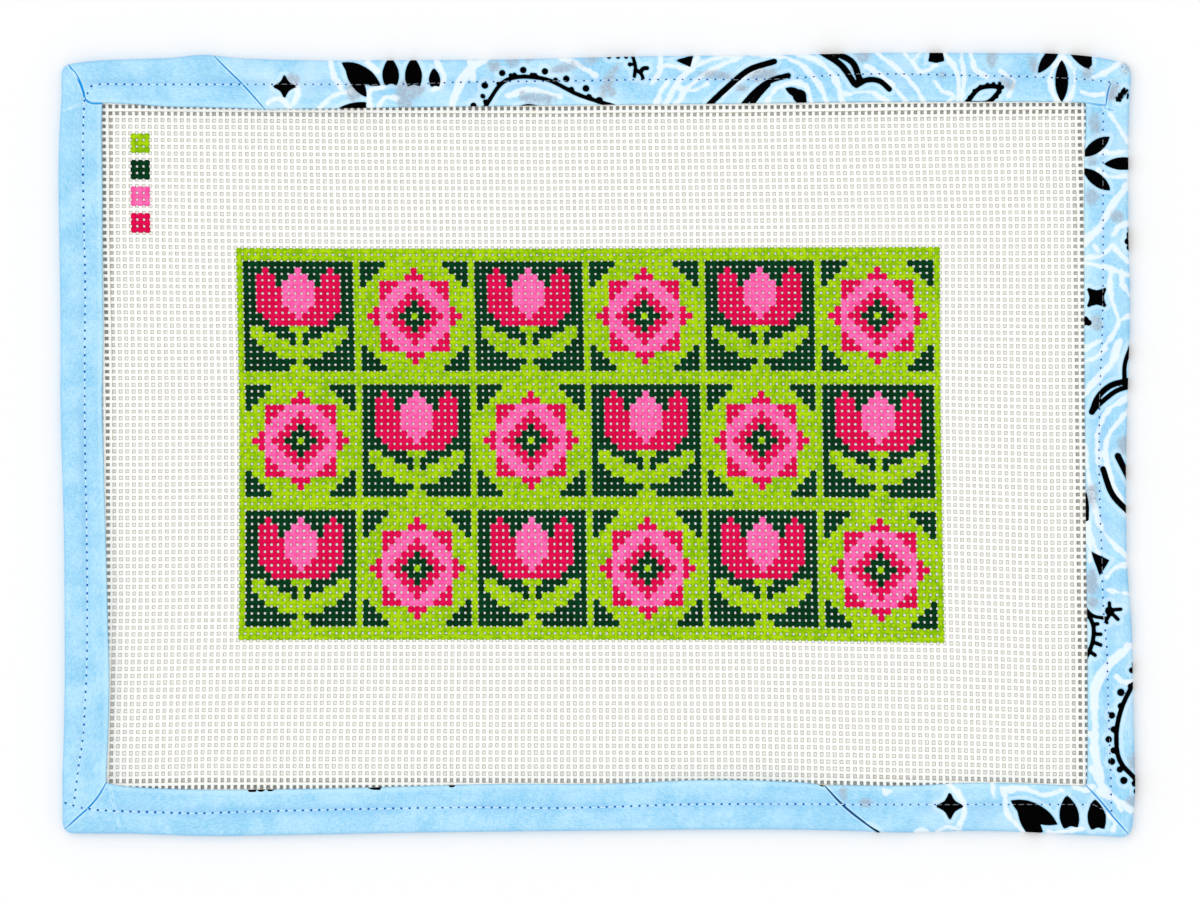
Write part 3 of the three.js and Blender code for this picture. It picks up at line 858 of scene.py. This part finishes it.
BLACK_LEAVES = [
    (1.95, (139.4, 115.3), (139.4, 102.4)), (1.89, (145.7, 86.2), (153.8, 92.2)),
    (1.92, (152, 84), (164, 84.2)), (1.89, (145.7, 82.7), (154.1, 76)),
    (2.4, (-76.3, 114.4), (-64.6, 107.5)), (1.8, (-75.1, 113.5), (-68.8, 103.9)),
    (2.7, (124.1, -106.7), (138.2, -113.9)), (1.74, (139.1, 120.4), (132.2, 111.1)),
    (0.9, (146.1, -14.3), (147, -23)), (1.65, (140.9, 120.7), (147.8, 112.3)),
    (1.32, (56.6, 106.7), (62.3, 104.2)),
]
BLACK_PETALS = [
    (2.52, (-61.5, 107.8), (-61.8, 115.9)), (2.58, (-54.7, 107.5), (-54.9, 115.9)),
    (1.74, (-48.3, 107.2), (-48.7, 112.7)), (1.62, (-68.8, 101.3), (-78.1, 100)),
    (2.52, (132.2, -116.9), (126.2, -107.9)), (2.94, (142.1, -114.7), (140.9, -105.2)),
    (2.76, (150.2, -115.1), (149.3, -106.3)),
]
BLACK_DOTS = [
    (0.96, (-36.8, 101.5)), (1.05, (-33.4, 107.5)), (0.99, (-28.2, 111.2)), (1.02, (-21.9, 112.1)),
    (1.02, (-15.4, 111.7)), (1.02, (-9, 109.5)), (1.05, (-3.1, 106.6)), (1.11, (0.9, 103)),
    (0.78, (-34, 104.3)), (0.78, (-33.2, 102.6)), (0.72, (-29.3, 108)), (0.72, (-25.6, 110.5)),
    (0.72, (-24.5, 110.7)), (0.72, (-19.3, 110.7)), (0.72, (-18.3, 110.6)), (0.75, (-12.2, 109.2)),
    (0.78, (-7.4, 106.4)), (0.84, (-2.2, 104.2)), (1.32, (153.7, -49.9)), (2.76, (149.9, -111.5)),
    (0.6, (3.8, 116)), (0.6, (6.5, 116)), (0.6, (8.9, 116)), (0.72, (10.1, 113.8)),
    (2.04, (60.9, 104.3)), (0.45, (155.8, 103.8)), (0.45, (156.6, 105)), (0.42, (157.6, 104)),
    (0.45, (156.9, 102.9)), (0.39, (157.4, 105.9)), (0.6, (111.8, 104)), (0.6, (113.2, 105.9)),
    (0.6, (115.1, 107.2)), (0.6, (117.2, 107.8)), (0.6, (119, 108)), (0.6, (120.8, 108.1)),
    (0.66, (121.6, 107)), (0.66, (120.8, 105.6)), (0.6, (119.9, 104.1)), (1.02, (159.8, 62.8)),
    (1.02, (159.2, 60.8)), (1.02, (159.8, 59)), (0.96, (160.1, 64.4)), (1.35, (146.3, 37)),
    (0.9, (147.5, 36.4)), (0.9, (160.4, -67.7)), (0.9, (161.3, -65.9)), (1.14, (157.1, -74.3)),
    (1.02, (154.4, -81.2)), (1.02, (153.5, -88.4)), (1.08, (154.4, -95)), (1.14, (158, -100.7)),
    (0.96, (161.9, -104)), (0.96, (160.1, -72.5)), (0.99, (157.1, -78.4)), (0.99, (155, -85.4)),
    (0.99, (155, -91.7)), (0.99, (156.8, -97.4)), (0.99, (161.3, -101.6)),
]
BLACK_STARS = [
    (3.45, 0, (-93.4, 107.2)), (4.05, 0, (105.9, -108.4)), (3.9, 45, (149.9, 44)),
]
PRINT_SCRAPS = [
    ((23.4, 115.1), (29.1, 116.6), (28.2, 112.9)),
    ((100.2, 119.5), (103.5, 119.5), (104.3, 114.8), (101.9, 114.2), (99.4, 114.7)),
    ((148.1, -32), (153.8, -34.7), (150.8, -39.5)),
]
PLAIN_SCRAPS = [
    ((-104.7, -103.4), (-101.5, -103.3), (-102.1, -104.1), (-103.9, -104.2)),
    ((-101.6, -103.4), (-99.1, -103.3), (-99.7, -104), (-101.1, -104.1)),
    ((-98.9, -103.3), (-96.1, -103.2), (-97, -103.9), (-98.2, -104)),
    ((-68.8, -102.9), (-64.2, -102.7), (-64.9, -103.6), (-67, -103.5)),
    ((-44.5, -102), (-42, -101.9), (-42.7, -102.7), (-43.9, -102.8)),
    ((65.5, -100.8), (67.1, -100.9), (68.7, -102.3), (67.7, -102.6), (65.9, -101.6)),
]
WHITE_SCROLLS = [
    (0.66, (-79.9, 115.9), (-78.7, 110.9), (-76.3, 106.3)),
    (0.75, (-82.9, 100.9), (-78.5, 104.5), (-72.7, 105.7)),
    (0.53, (-69.7, 116.5), (-67.9, 114.1), (-65.5, 111.7)),
    (0.67, (-67.6, 100.6), (-67.7, 105.9), (-63.1, 107.2)),
    (0.6, (-65.2, 100.9), (-63.4, 103.9), (-59.8, 103.6)),
    (0.6, (-47.8, 114.7), (-45.5, 109.7), (-49, 106)),
    (1.05, (-22.9, 117.1), (-32.3, 115.9), (-39.6, 110.2), (-43.3, 101.5)),
    (0.75, (-37.9, 115.3), (-37.2, 112.4), (-36.7, 109.6)),
    (0.75, (-26.5, 104.5), (-21.3, 106), (-15.9, 105.6), (-10.9, 104.2)),
    (0.75, (-10.9, 115.9), (-5.3, 113.6), (-0.1, 110.5)),
    (0.67, (-90.1, 108.1), (-89.5, 105.2), (-91.6, 100.9)),
    (0.75, (-98.5, 102.1), (-95.5, 103.6), (-92.5, 101.5)),
    (0.75, (19.1, 117.4), (19.1, 112.5), (16.7, 108.1)),
    (0.66, (19.7, 113.5), (23.8, 113.3), (27.2, 112.6), (30.2, 115.9)),
    (0.66, (17.6, 101.2), (19.4, 105.7), (21.5, 108.7)),
    (0.66, (20.3, 100.9), (25.5, 109.8), (34.3, 115.2), (44.6, 117.1)),
    (0.66, (23.3, 101.2), (28.5, 107.7), (35.4, 112.6), (43.1, 115.9)),
    (0.6, (23.9, 106.9), (29.1, 106), (33.2, 108.1)),
    (0.66, (46.7, 116.8), (56.7, 115.9), (64.9, 110.3), (69.5, 101.5)),
    (0.66, (56.9, 117.4), (65.2, 115.5), (71.4, 109.6), (74, 101.5)),
    (0.66, (50.3, 101.5), (54.9, 107.2), (62, 107.9), (65, 101.5)),
    (0.6, (37.7, 104.5), (43.1, 109.3), (49.1, 112)),
    (0.66, (74.6, 104.8), (82.3, 105.4), (89, 101.5)),
    (0.66, (83.9, 117.4), (89.7, 112.9), (94.9, 107.8), (98.9, 101.5)),
    (0.66, (80.9, 113.5), (87.6, 108.7), (92.9, 102.4)),
    (0.6, (92.3, 117.4), (94.4, 115), (97.1, 117.4)),
    (0.6, (94.4, 115), (97.2, 111.6), (101.9, 113.5)),
    (0.6, (104.3, 117.4), (108.4, 109.9), (108.2, 100.9)),
    (0.6, (109.4, 117.4), (110.1, 109.3), (109.1, 101.2)),
    (0.6, (112.1, 117.4), (113.6, 112.4), (116.9, 110.2)),
    (0.6, (101.3, 108.7), (103.5, 105.9), (107.1, 104.4), (104.9, 102.1)),
    (0.6, (121.1, 111.7), (125, 109), (123.5, 104.5)),
    (0.66, (139.7, 116.5), (136.4, 111.7), (136.5, 105.8), (139.7, 100.9)),
    (0.66, (139.7, 116.5), (143, 111.7), (142.9, 105.8), (139.7, 100.9)),
    (0.75, (148.7, 109.9), (153.5, 111.9), (157.7, 115)),
    (0.6, (145.1, 105.7), (149.3, 104.5), (151.7, 105.1)),
    (0.75, (153.8, 98.8), (156.5, 94.9), (159.2, 90.4)),
    (0.66, (151.1, 87.7), (154.7, 87.4), (159.8, 88)),
    (0.66, (150.5, 82.3), (152.9, 80.5), (159.5, 80.2)),
    (1.2, (146, 60.4), (151, 65.4), (154.6, 71.8), (159.2, 77.5)),
    (0.75, (155, 63.1), (156.5, 65.2), (159.8, 66.7)),
    (0.75, (154.7, 59.5), (156.2, 57.7), (159.5, 54.7)),
    (0.75, (146, 55.9), (151.1, 56.5), (154.7, 59.5)),
    (0.6, (146, 54.4), (153, 52.9), (159.8, 50.8)), (0.6, (149.3, 59.5), (150.5, 57.7)),
    (0.66, (154.1, 52.3), (154.2, 44.1), (156.5, 36.5), (152.3, 29.5)),
    (0.66, (157.4, 52.3), (157.7, 48.1), (159.8, 44.5)), (0.6, (156.8, 37.3), (159.5, 38.5)),
    (0.75, (146, 28.3), (148.7, 29.8), (151.1, 31)),
    (0.75, (146, 24.7), (149.9, 26.2), (152.3, 28.9)),
    (1.05, (156.8, 31), (154.5, 24.9), (150.4, 20.1), (146.3, 15.1)),
    (0.75, (160.1, 14.5), (153.4, 10.2), (150.2, 2.8), (150.5, -5.3)),
    (0.75, (160.1, 10.9), (152.9, 1.3), (154.3, -11.3), (160.1, -22.7)),
    (0.66, (146.3, -0.5), (148, -12.3), (151.4, -25.1), (160.1, -35)),
    (0.66, (146.3, -19.1), (147.5, -25.7), (150.2, -32.6)),
    (0.66, (160.1, -35.6), (155.3, -37.1), (152.9, -39.8)),
    (0.6, (146, -26.9), (148.1, -31.1), (147.5, -34.7)),
    (0.6, (153.5, -43.7), (156.5, -44.3), (160.1, -44.9)),
    (1.35, (159.5, -60.5), (155.3, -64.4), (151.5, -68.5), (149.3, -73.7)),
    (1.05, (149.3, -73.7), (149.3, -82.4), (149.4, -91.3), (151.1, -100.1)),
    (0.75, (155.9, -69.5), (157.7, -71.3), (160.7, -71)), (0.75, (146.3, -85.7), (148.4, -86.9)),
    (0.9, (148.4, -97.1), (151.4, -102), (155.3, -106.3), (160.1, -109.4)),
    (0.75, (150.5, -103.7), (153.2, -105.4), (155.7, -106.3), (157.1, -109.4)),
    (0.75, (105.2, -101.6), (108.8, -105.4), (110.2, -109.6), (108.5, -114.5)),
    (0.6, (118.7, -101.3), (119, -105.5)),
    (0.75, (101.9, -116.3), (104.9, -114.5), (108.8, -115.4)),
    (0.6, (95.9, -116.3), (97.7, -115.4), (99.5, -116.3)),
    (0.75, (122, -103.7), (123.4, -111), (128.3, -116.6)),
    (0.75, (121.7, -103.4), (128.2, -103.2), (134.4, -105), (139.7, -103.7)),
    (0.6, (135.5, -116.3), (140.9, -116), (146.3, -115.1)),
    (0.75, (143.3, -102.5), (146.9, -103.7), (148.7, -102.5)),
    (0.6, (153.5, -110.9), (155.3, -113.3), (154.7, -115.7)),
    (0.53, (86.3, -103.4), (86.3, -104.9), (88.1, -103.7)),
]
GREY_SHADOWS = [
    (2.1, 2.4, 0, (-91, 109.3)), (2.4, 3, 0, (-72.7, 105.7)), (4.2, 3.3, 0, (-55.9, 106.3)),
    (2.4, 2.4, 0, (-57.1, 102.1)), (2.1, 2.1, 0, (-30.7, 113.5)), (2.1, 1.8, 0, (-25.3, 114.7)),
    (1.8, 1.2, 0, (-19.9, 115.3)), (6.6, 1.8, -4, (-17.5, 103.6)), (4.5, 1.5, 12, (-10, 112.6)),
    (3, 1.2, 20, (-1.9, 114.7)), (1.5, 6, -28, (3.8, 108.7)), (1.5, 1.5, 0, (4.7, 105.7)),
    (5.1, 1.3, -3, (36.2, 110.6)), (4.2, 1.8, 10, (49.7, 110.8)), (1.8, 1.2, 0, (43.4, 106.6)),
    (2.7, 1.8, 0, (79.7, 116.2)), (1.5, 0.9, 0, (77, 112)), (1.5, 1.1, 0, (103.7, 110.5)),
    (1.8, 2.7, 0, (118.4, 115.9)), (2.4, 1.8, -30, (123.5, 108.1)), (1.5, 3, 20, (131, 113.5)),
    (1.8, 2.7, -15, (146.9, 111.1)), (1.8, 3, 0, (154.7, 105.7)), (2.1, 1.8, 30, (158.9, 113.2)),
    (1.6, 3.4, 10, (149.6, 95.8)), (1.5, 1.5, 0, (148.4, 85.3)), (2.1, 2.7, 15, (148.4, 74.2)),
    (2.1, 2.1, 0, (155.9, 68.2)), (1.8, 2.1, 0, (149.9, 36.1)), (2.1, 3.3, 0, (148.1, -15.5)),
    (1.8, 4.2, 0, (148.4, -41.6)), (1.8, 2.4, 0, (148.7, -47.6)), (2.4, 3, 0, (158.3, -0.2)),
    (1.5, 2.7, 0, (161, -95.3)), (1.8, 1.8, 0, (160.7, -106.7)), (1.5, 2.1, 0, (74, -104.3)),
    (1.8, 1.5, 0, (80.9, -107.6)),
]


def stroke_edge(points, half, *line):
    return distance_to_line(points, smooth_line(line))[0] - half


def dot_edge(points, half, middle):
    return np.hypot(*(points - np.array(middle)).T) - half


def along_and_across(points, start, towards):
    """How far each point lies from a start along a direction, and to the left of it."""
    from_start = points - start
    return from_start @ towards, from_start @ np.array([-towards[1], towards[0]])


# The nearest point of a slanting side is nearer than the one straight across, by about this share.
SLANT = 0.9
LEAF_FULLNESS = 2.3


def leaf_edge(points, half, tail, tip):
    """Two arcs that meet in points at the tail and the tip."""
    tail, tip = np.array(tail), np.array(tip)
    length = np.linalg.norm(tip - tail) / 2
    along, across = along_and_across(points, (tail + tip) / 2, (tip - tail) / (2 * length))
    along, across = np.abs(along), np.abs(across)
    reach = along / length
    side = across - half * (1 - np.minimum(reach, 1) ** LEAF_FULLNESS)
    return np.where(reach < 1, side * SLANT, np.hypot(across, along - length) + 0.02)


# Where on a half wave the petal's outline starts, how full it is, and the waves in its base.
PETAL_START, PETAL_FULLNESS, PETAL_WAVE, PETAL_WAVES = 0.24, 0.75, 0.1, 5


def petal_edge(points, half, base, tip):
    """A petal with a pointed tip, full shoulders and a blunt, slightly wavy base."""
    base, tip = np.array(base), np.array(tip)
    length = np.linalg.norm(tip - base)
    along, across = along_and_across(points, base, (tip - base) / length)
    share = np.clip(along / length, 0, 1)
    wave = np.sin(np.pi * (PETAL_START + (1 - PETAL_START) * share))
    side = np.abs(across) - half * wave**PETAL_FULLNESS
    foot = PETAL_WAVE * half * np.cos(across / half * PETAL_WAVES) - along
    return np.maximum(np.maximum(side * SLANT, foot), along - length)


def on_turned_axes(points, turn, middle):
    x, y = (points - np.array(middle)).T
    lean = math.radians(turn)
    return x * math.cos(lean) + y * math.sin(lean), y * math.cos(lean) - x * math.sin(lean)


# A star's tips and body, as shares of its reach, and how its arms taper.
STAR_TIP, STAR_BODY, STAR_TAPER = 0.14, 0.56, 1.25


def star_edge(points, reach, turn, middle):
    """A round body drawn out into four points with blunt tips."""
    x, y = np.abs(on_turned_axes(points, turn, middle))
    along, across = np.maximum(x, y), np.minimum(x, y)
    tip = STAR_TIP * reach
    arm = tip + STAR_BODY * reach * np.clip(1 - along / (reach - tip), 0, 1) ** STAR_TAPER
    return np.where(along < reach - tip, across - arm, np.hypot(across, along - reach + tip) - tip)


def blot_edge(points, half_across, half_up, turn, middle):
    across, up = on_turned_axes(points, turn, middle)
    return (np.hypot(across / half_across, up / half_up) - 1) * min(half_across, half_up)


def scrap_edge(points, *corners):
    """A straight-sided scrap of a motif, its corners in order."""
    middle = np.mean(corners, 0)
    away = np.full(len(points), -np.inf)
    for tail, tip in zip(corners, corners[1:] + corners[:1]):
        way = np.subtract(tip, tail) / np.linalg.norm(np.subtract(tip, tail))
        out = np.array([way[1], -way[0]])
        out = out * np.sign((tail - middle) @ out)
        away = np.maximum(away, (points - tail) @ out)
    return away


# The motifs of each ink, under the function that gives the distance from their edge.
PRINT_INKS = {
    "black": {
        stroke_edge: BLACK_STROKES, leaf_edge: BLACK_LEAVES, petal_edge: BLACK_PETALS,
        dot_edge: BLACK_DOTS, star_edge: BLACK_STARS, scrap_edge: PRINT_SCRAPS,
    },
    "white": {stroke_edge: WHITE_SCROLLS},
    "grey": {blot_edge: GREY_SHADOWS},
}
PLAIN_INKS = {"black": {scrap_edge: PLAIN_SCRAPS}}
# What a point measures where no motif is near, and how near to a motif's places it has to be.
FAR_FROM_INK, MOTIF_MARGIN = 4, 6


def ink_measure(points, motifs):
    """How far each point is outside the nearest of an ink's motifs, in millimetres; less than
    nothing inside it."""
    measure = np.full(len(points), float(FAR_FROM_INK))
    for edge, table in motifs.items():
        for motif in table:
            places = [value for value in motif if isinstance(value, tuple)]
            low, high = np.min(places, 0) - MOTIF_MARGIN, np.max(places, 0) + MOTIF_MARGIN
            near = ((points > low) & (points < high)).all(1)
            measure[near] = np.minimum(measure[near], edge(points[near], *motif))
    return measure


# The cotton's colours, in screen values: its ground, slubs, painted shade near the fold and
# stitching, painted highlight and painted shade at the free edge, painted shade in seams and folds
# with a painted highlight beside them, and the inks.
BLUE, PALE_BLUE, SLUB_BLUE = (134, 199, 236), (188, 229, 248), (212, 240, 252)
FOLD_AND_STITCH_SHADE_BLUE, RIM_HIGHLIGHT_BLUE, EDGE_SHADE_BLUE = (126, 186, 232), (204, 238, 252), (84, 150, 190)
SEAM_SHADE_BLUE, FOLD_SHADE_BLUE, LIT_BLUE = (0, 66, 128), (0, 148, 222), (220, 245, 255)
WASHED_BLUE, HALO_BLUE = (220, 240, 250), (226, 242, 250)
BLACK_INK, WHITE_INK, GREY_INK = (1, 1, 2), (236, 244, 250), (162, 173, 187)


class Cotton(Finish):
    """Fine woven cotton: thread specks, slow unevenness, and painted shade in the creases, along
    the fold and beside the stitching."""

    def __init__(self, name):
        super().__init__(name, roughness=0.9, gloss=0.02)
        self.cloth = self.node("ShaderNodeUVMap", {"uv_map": "cloth"}, {})
        self.across = self.node("ShaderNodeSeparateXYZ", {}, {0: self.cloth}, 1) * 1000
        self.weave = self.threads(640, 2300) * 0.5 + self.threads(2300, 640) * 0.5

    def threads(self, along, across, detail=1):
        """Noise drawn out along the cloth's threads: how fine it is along the strip and across."""
        settings, fineness = {"operation": "MULTIPLY"}, (along, across, 1)
        stretched = self.node("ShaderNodeVectorMath", settings, {0: self.cloth, 1: fineness})
        return self.noise(1, detail, stretched)

    def ground(self):
        """The cloth's own blue. Distances across it are in millimetres."""
        slow = self.noise(130, 4).ramp(0.3, 0.7)
        colour = self.mix(self.weave.ramp(0.32, 0.68) * 0.55 + slow * 0.45, BLUE, PALE_BLUE)
        slub = self.threads(420, 2600, 2).ramp(0.66, 0.76)
        colour = self.mix(slub * 0.5, colour, SLUB_BLUE)
        # Painted shade along the fold and, in patches, beside the stitching.
        from_fold = (self.across - FOLD_PLACE).size()
        from_stitches = (self.across - STITCH_PLACE).size()
        beside = 1 - from_stitches.ramp(0.3, 2.6)
        patchy = self.noise(60).ramp(0.35, 0.65)
        painted_shade = (1 - from_fold.ramp(0.4, 2.6)) * 0.5 + beside * patchy * 0.35
        colour = self.mix(painted_shade, colour, FOLD_AND_STITCH_SHADE_BLUE)
        # A painted highlight just inside the free edge, and painted shade on the edge itself.
        from_edge = (self.across - EDGE_PLACE).size()
        edge_highlight = from_edge.ramp(0.5, 0.8) - from_edge.ramp(1.2, 2.2)
        colour = self.mix(edge_highlight * 0.3, colour, RIM_HIGHLIGHT_BLUE)
        return self.mix((1 - from_edge.ramp(0.15, 0.6)) * 0.55, colour, EDGE_SHADE_BLUE)

    def finished(self, colour):
        """Lays painted shade at seams and folds, with a painted highlight beside them, and black
        ink over a colour, and adds the bump of the weave.
        """
        # At seams and folds: a painted highlight beside the line, then painted shade on it.
        for kind, deep in (("seam", SEAM_SHADE_BLUE), ("fold", FOLD_SHADE_BLUE)):
            away = self.measure(kind)
            lit = away.ramp(0.14, 0.3) - away.ramp(0.34, 0.65)
            colour = self.mix(lit * 0.45, colour, LIT_BLUE)
            colour = self.mix((1 - away.ramp(-0.05, 0.24)) * 0.97, colour, deep)
        ragged = self.noise(900) - 0.5
        black = 1 - (self.measure("black") + ragged * 0.16).ramp(-0.08, 0.1)
        self.colour(self.mix(black, colour, BLACK_INK))
        self.bump(self.weave, distance=0.00012, strength=0.5)
        return self.material


def plain_cotton():
    cotton = Cotton("plain blue cotton")
    return cotton.finished(cotton.ground())


def printed_cotton():
    """Cloth paler in patches and round the black, with ragged white and speckled grey on it."""
    cotton = Cotton("printed blue cotton")
    ragged = cotton.noise(520, 3) - 0.5
    wavy = cotton.noise(170) - 0.5
    pale = cotton.noise(60, 4).ramp(0.48, 0.72)
    black_edge = cotton.measure("black")
    halo = black_edge.ramp(0.15, 0.5) - black_edge.ramp(0.9, 1.6)
    white = 1 - (cotton.measure("white") + ragged * 1.5 + wavy * 1.9).ramp(-0.3, 0.38)
    grey = 1 - (cotton.measure("grey") + ragged * 2 + wavy * 2).ramp(-0.9, 0.7)
    speckle = cotton.noise(1500, 3).ramp(0.3, 0.65) * 0.6 + 0.4
    colour = cotton.mix(pale * 0.35, cotton.ground(), WASHED_BLUE)
    colour = cotton.mix(halo * 0.4, colour, HALO_BLUE)
    colour = cotton.mix(white * 0.82, colour, WHITE_INK)
    return cotton.finished(cotton.mix(grey * speckle * 0.9, colour, GREY_INK))


BINDINGS = {
    "binding_plain": {"finish": plain_cotton(), "inks": PLAIN_INKS, "cut": (0.520, 0.030)},
    "binding_print": {"finish": printed_cotton(), "inks": PRINT_INKS, "cut": (0.580, 0.030)},
}
strip_skins = {}
for name, binding in BINDINGS.items():
    strip, points = strip_piece(name)
    for kind in ("seam", "fold"):
        add_measure(strip, kind, line_measure(points, kind))
    for ink, motifs in binding["inks"].items():
        add_measure(strip, ink, ink_measure(points, motifs))
    strip.data.materials.append(binding["finish"])
    strip_skins[name] = strip
    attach(strip, "root")
    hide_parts(name)

# ---------------------------------------------------------------------------------------------
# Topstitching: pale cotton thread sewn through the binding and the canvas, with the same stitch
# on the back. Each needle hole shows as a small dark blue dot between two stitches.

STITCH_SIDES = 6
# A stitch from end to end: shares of its length, its thickness there, and how deep it lies.
STITCH_RINGS = [(-0.37, 0.45, 0.1), (-0.26, 0.95, 0.02), (0.26, 0.95, 0.02), (0.37, 0.45, 0.1)]
# The middle of the thread stands above the cloth by this share of its half width.
STITCH_STAND = 0.5
# How far ahead and behind a place the direction of its run is read.
LOOK_ALONG = 0.2
HOLE_POINTS = 8
# A hole's spot: its dome's height, its rings as shares of its size and of that height, and how
# far its foot goes into the cloth.
HOLE_RISE, HOLE_RINGS, HOLE_DEPTH = 0.08, ((1.0, -0.1), (0.7, 0.7)), 0.2


def run_places(run, step):
    """Places along a run of stitching, and its direction at each."""
    line = smooth_line(run, FINE_STEP)
    far = far_along(line)
    places = np.arange(step / 2, far[-1], step)
    at, ahead, behind = (
        np.stack([np.interp(places + shift, far, line[:, axis]) for axis in (0, 1)], -1)
        for shift in (0, LOOK_ALONG, -LOOK_ALONG)
    )
    way = ahead - behind
    return at, way / np.linalg.norm(way, axis=1)[:, None]


def skin_tree(strip):
    """A strip's surface, for rays."""
    points = [vertex.co for vertex in strip.data.vertices]
    return BVHTree.FromPolygons(points, [polygon.vertices for polygon in strip.data.polygons])


SKINS = {name: skin_tree(strip) for name, strip in strip_skins.items()}


# A ray at a strip's surface: how far from the table it starts, and its length, in metres.
RAY_START, RAY_LENGTH = 0.01, 0.02


def skin_height(place, facing, strips=tuple(SKINS)):
    """The height of the binding, in millimetres, at a place on its front (1) or back (-1)."""
    start = (place[0] / 1000, place[1] / 1000, RAY_START * facing)
    hits = [SKINS[name].ray_cast(start, (0, 0, -facing), RAY_LENGTH)[0] for name in strips]
    heights = [hit.z * 1000 * facing for hit in hits if hit is not None]
    return max(heights) * facing if heights else None


def on_strip(place, facing, strip):
    height = skin_height(place, facing)
    return height is not None and height == skin_height(place, facing, [strip])


def sew(places, ways, facing, strip, half):
    """One thread for each stitch on a strip, on its front or its back."""
    points, faces = [], []
    turn = np.arange(STITCH_SIDES) * 2 * np.pi / STITCH_SIDES
    for place, way in zip(places, ways):
        middles = [place + way * share * STITCH_LENGTH for share, _, _ in STITCH_RINGS]
        heights = [skin_height(middle, facing) for middle in middles]
        if None in heights or not on_strip(place, facing, strip):
            continue
        index = len(points) + np.arange(len(STITCH_RINGS) * STITCH_SIDES)
        faces += tube_faces(index.reshape(-1, STITCH_SIDES))
        side = np.array([-way[1], way[0]])
        for (_, thick, deep), middle, height in zip(STITCH_RINGS, middles, heights):
            ring_half = half * thick
            # The threads of the back lie no lower than the table.
            middle_height = max(height + facing * (STITCH_STAND * ring_half - deep), ring_half)
            around = middle + np.cos(turn)[:, None] * ring_half * side
            points += np.column_stack([around, middle_height + np.sin(turn) * ring_half]).tolist()
    return points, faces


def prick(places, strip, half):
    """A low domed dark blue spot at each needle hole in a strip."""
    points, faces = [], []
    turn = np.arange(HOLE_POINTS) * 2 * np.pi / HOLE_POINTS
    for place in places:
        if not on_strip(place, 1, strip):
            continue
        height = skin_height(place, 1)
        start = len(points)
        for share, rise in HOLE_RINGS:
            ring = place + half * share * np.column_stack([np.cos(turn), np.sin(turn)])
            points += [[x, y, height + HOLE_RISE * rise] for x, y in ring]
        points += [[*place, height + HOLE_RISE], [*place, height - HOLE_DEPTH]]
        top, foot = start + 2 * HOLE_POINTS, start + 2 * HOLE_POINTS + 1
        for i in range(HOLE_POINTS):
            low, next_low = start + i, start + (i + 1) % HOLE_POINTS
            high, next_high = low + HOLE_POINTS, next_low + HOLE_POINTS
            faces += [[low, next_low, next_high, high], [high, next_high, top]]
            faces.append([next_low, low, foot])
    return points, faces


def stitch_piece(name, parts, finish, slot):
    """Joins runs of stitches into one piece."""
    points, faces = [], []
    for part_points, part_faces in parts:
        faces += [[corner + len(points) for corner in face] for face in part_faces]
        points += part_points
    points = np.array(points)
    piece = new_piece(name, points, faces)
    piece.data.materials.append(finish)
    add_measure(piece, "black", ink_measure(points[:, :2], BINDINGS[slot]["inks"]["black"]))
    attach(piece, "root")
    return piece


def sewing_thread(name, dark, light, on_black):
    """Twisted cotton, mottled, which turns to another shade where it lies on black print."""
    finish = Finish(name, roughness=0.75, gloss=0.05)
    thread = finish.mix(finish.noise(1400).ramp(0.3, 0.7), dark, light)
    black = 1 - finish.measure("black").ramp(-0.1, 0.1)
    finish.colour(finish.mix(black, thread, on_black))
    finish.bump(finish.noise(5200), distance=0.00008, strength=0.4)
    return finish.material


# The thread on each strip: half widths of stitches and needle holes, each before its finish.
HOLE_ON_BLACK = (1, 1, 4)
THREADS = {
    "plain": (
        0.14, sewing_thread("pale blue thread", (208, 236, 248), (232, 246, 253), (150, 160, 170)),
        0.46, sewing_thread("blue needle hole spot", (0, 80, 164), (0, 104, 190), HOLE_ON_BLACK),
    ),
    "print": (
        0.11, sewing_thread("grey blue thread", (204, 226, 240), (228, 242, 250), (128, 136, 146)),
        0.36, sewing_thread("navy needle hole spot", (0, 66, 146), (0, 94, 176), HOLE_ON_BLACK),
    ),
}
runs = [run_places(run, STITCH_LENGTH) for run in STITCH_RUNS]
holes = [places + ways * STITCH_LENGTH / 2 for places, ways in runs]
for cloth, (stitch_half, pale, hole_half, dark) in THREADS.items():
    strip = "binding_" + cloth
    for name, facing in (("front", 1), ("back", -1)):
        stitches = [sew(*run, facing, strip, stitch_half) for run in runs]
        stitch_piece(f"stitches_{name}_{cloth}", stitches, pale, strip)
    spots = [prick(places, strip, hole_half) for places in holes]
    stitch_piece("needle_holes_" + cloth, spots, dark, strip)
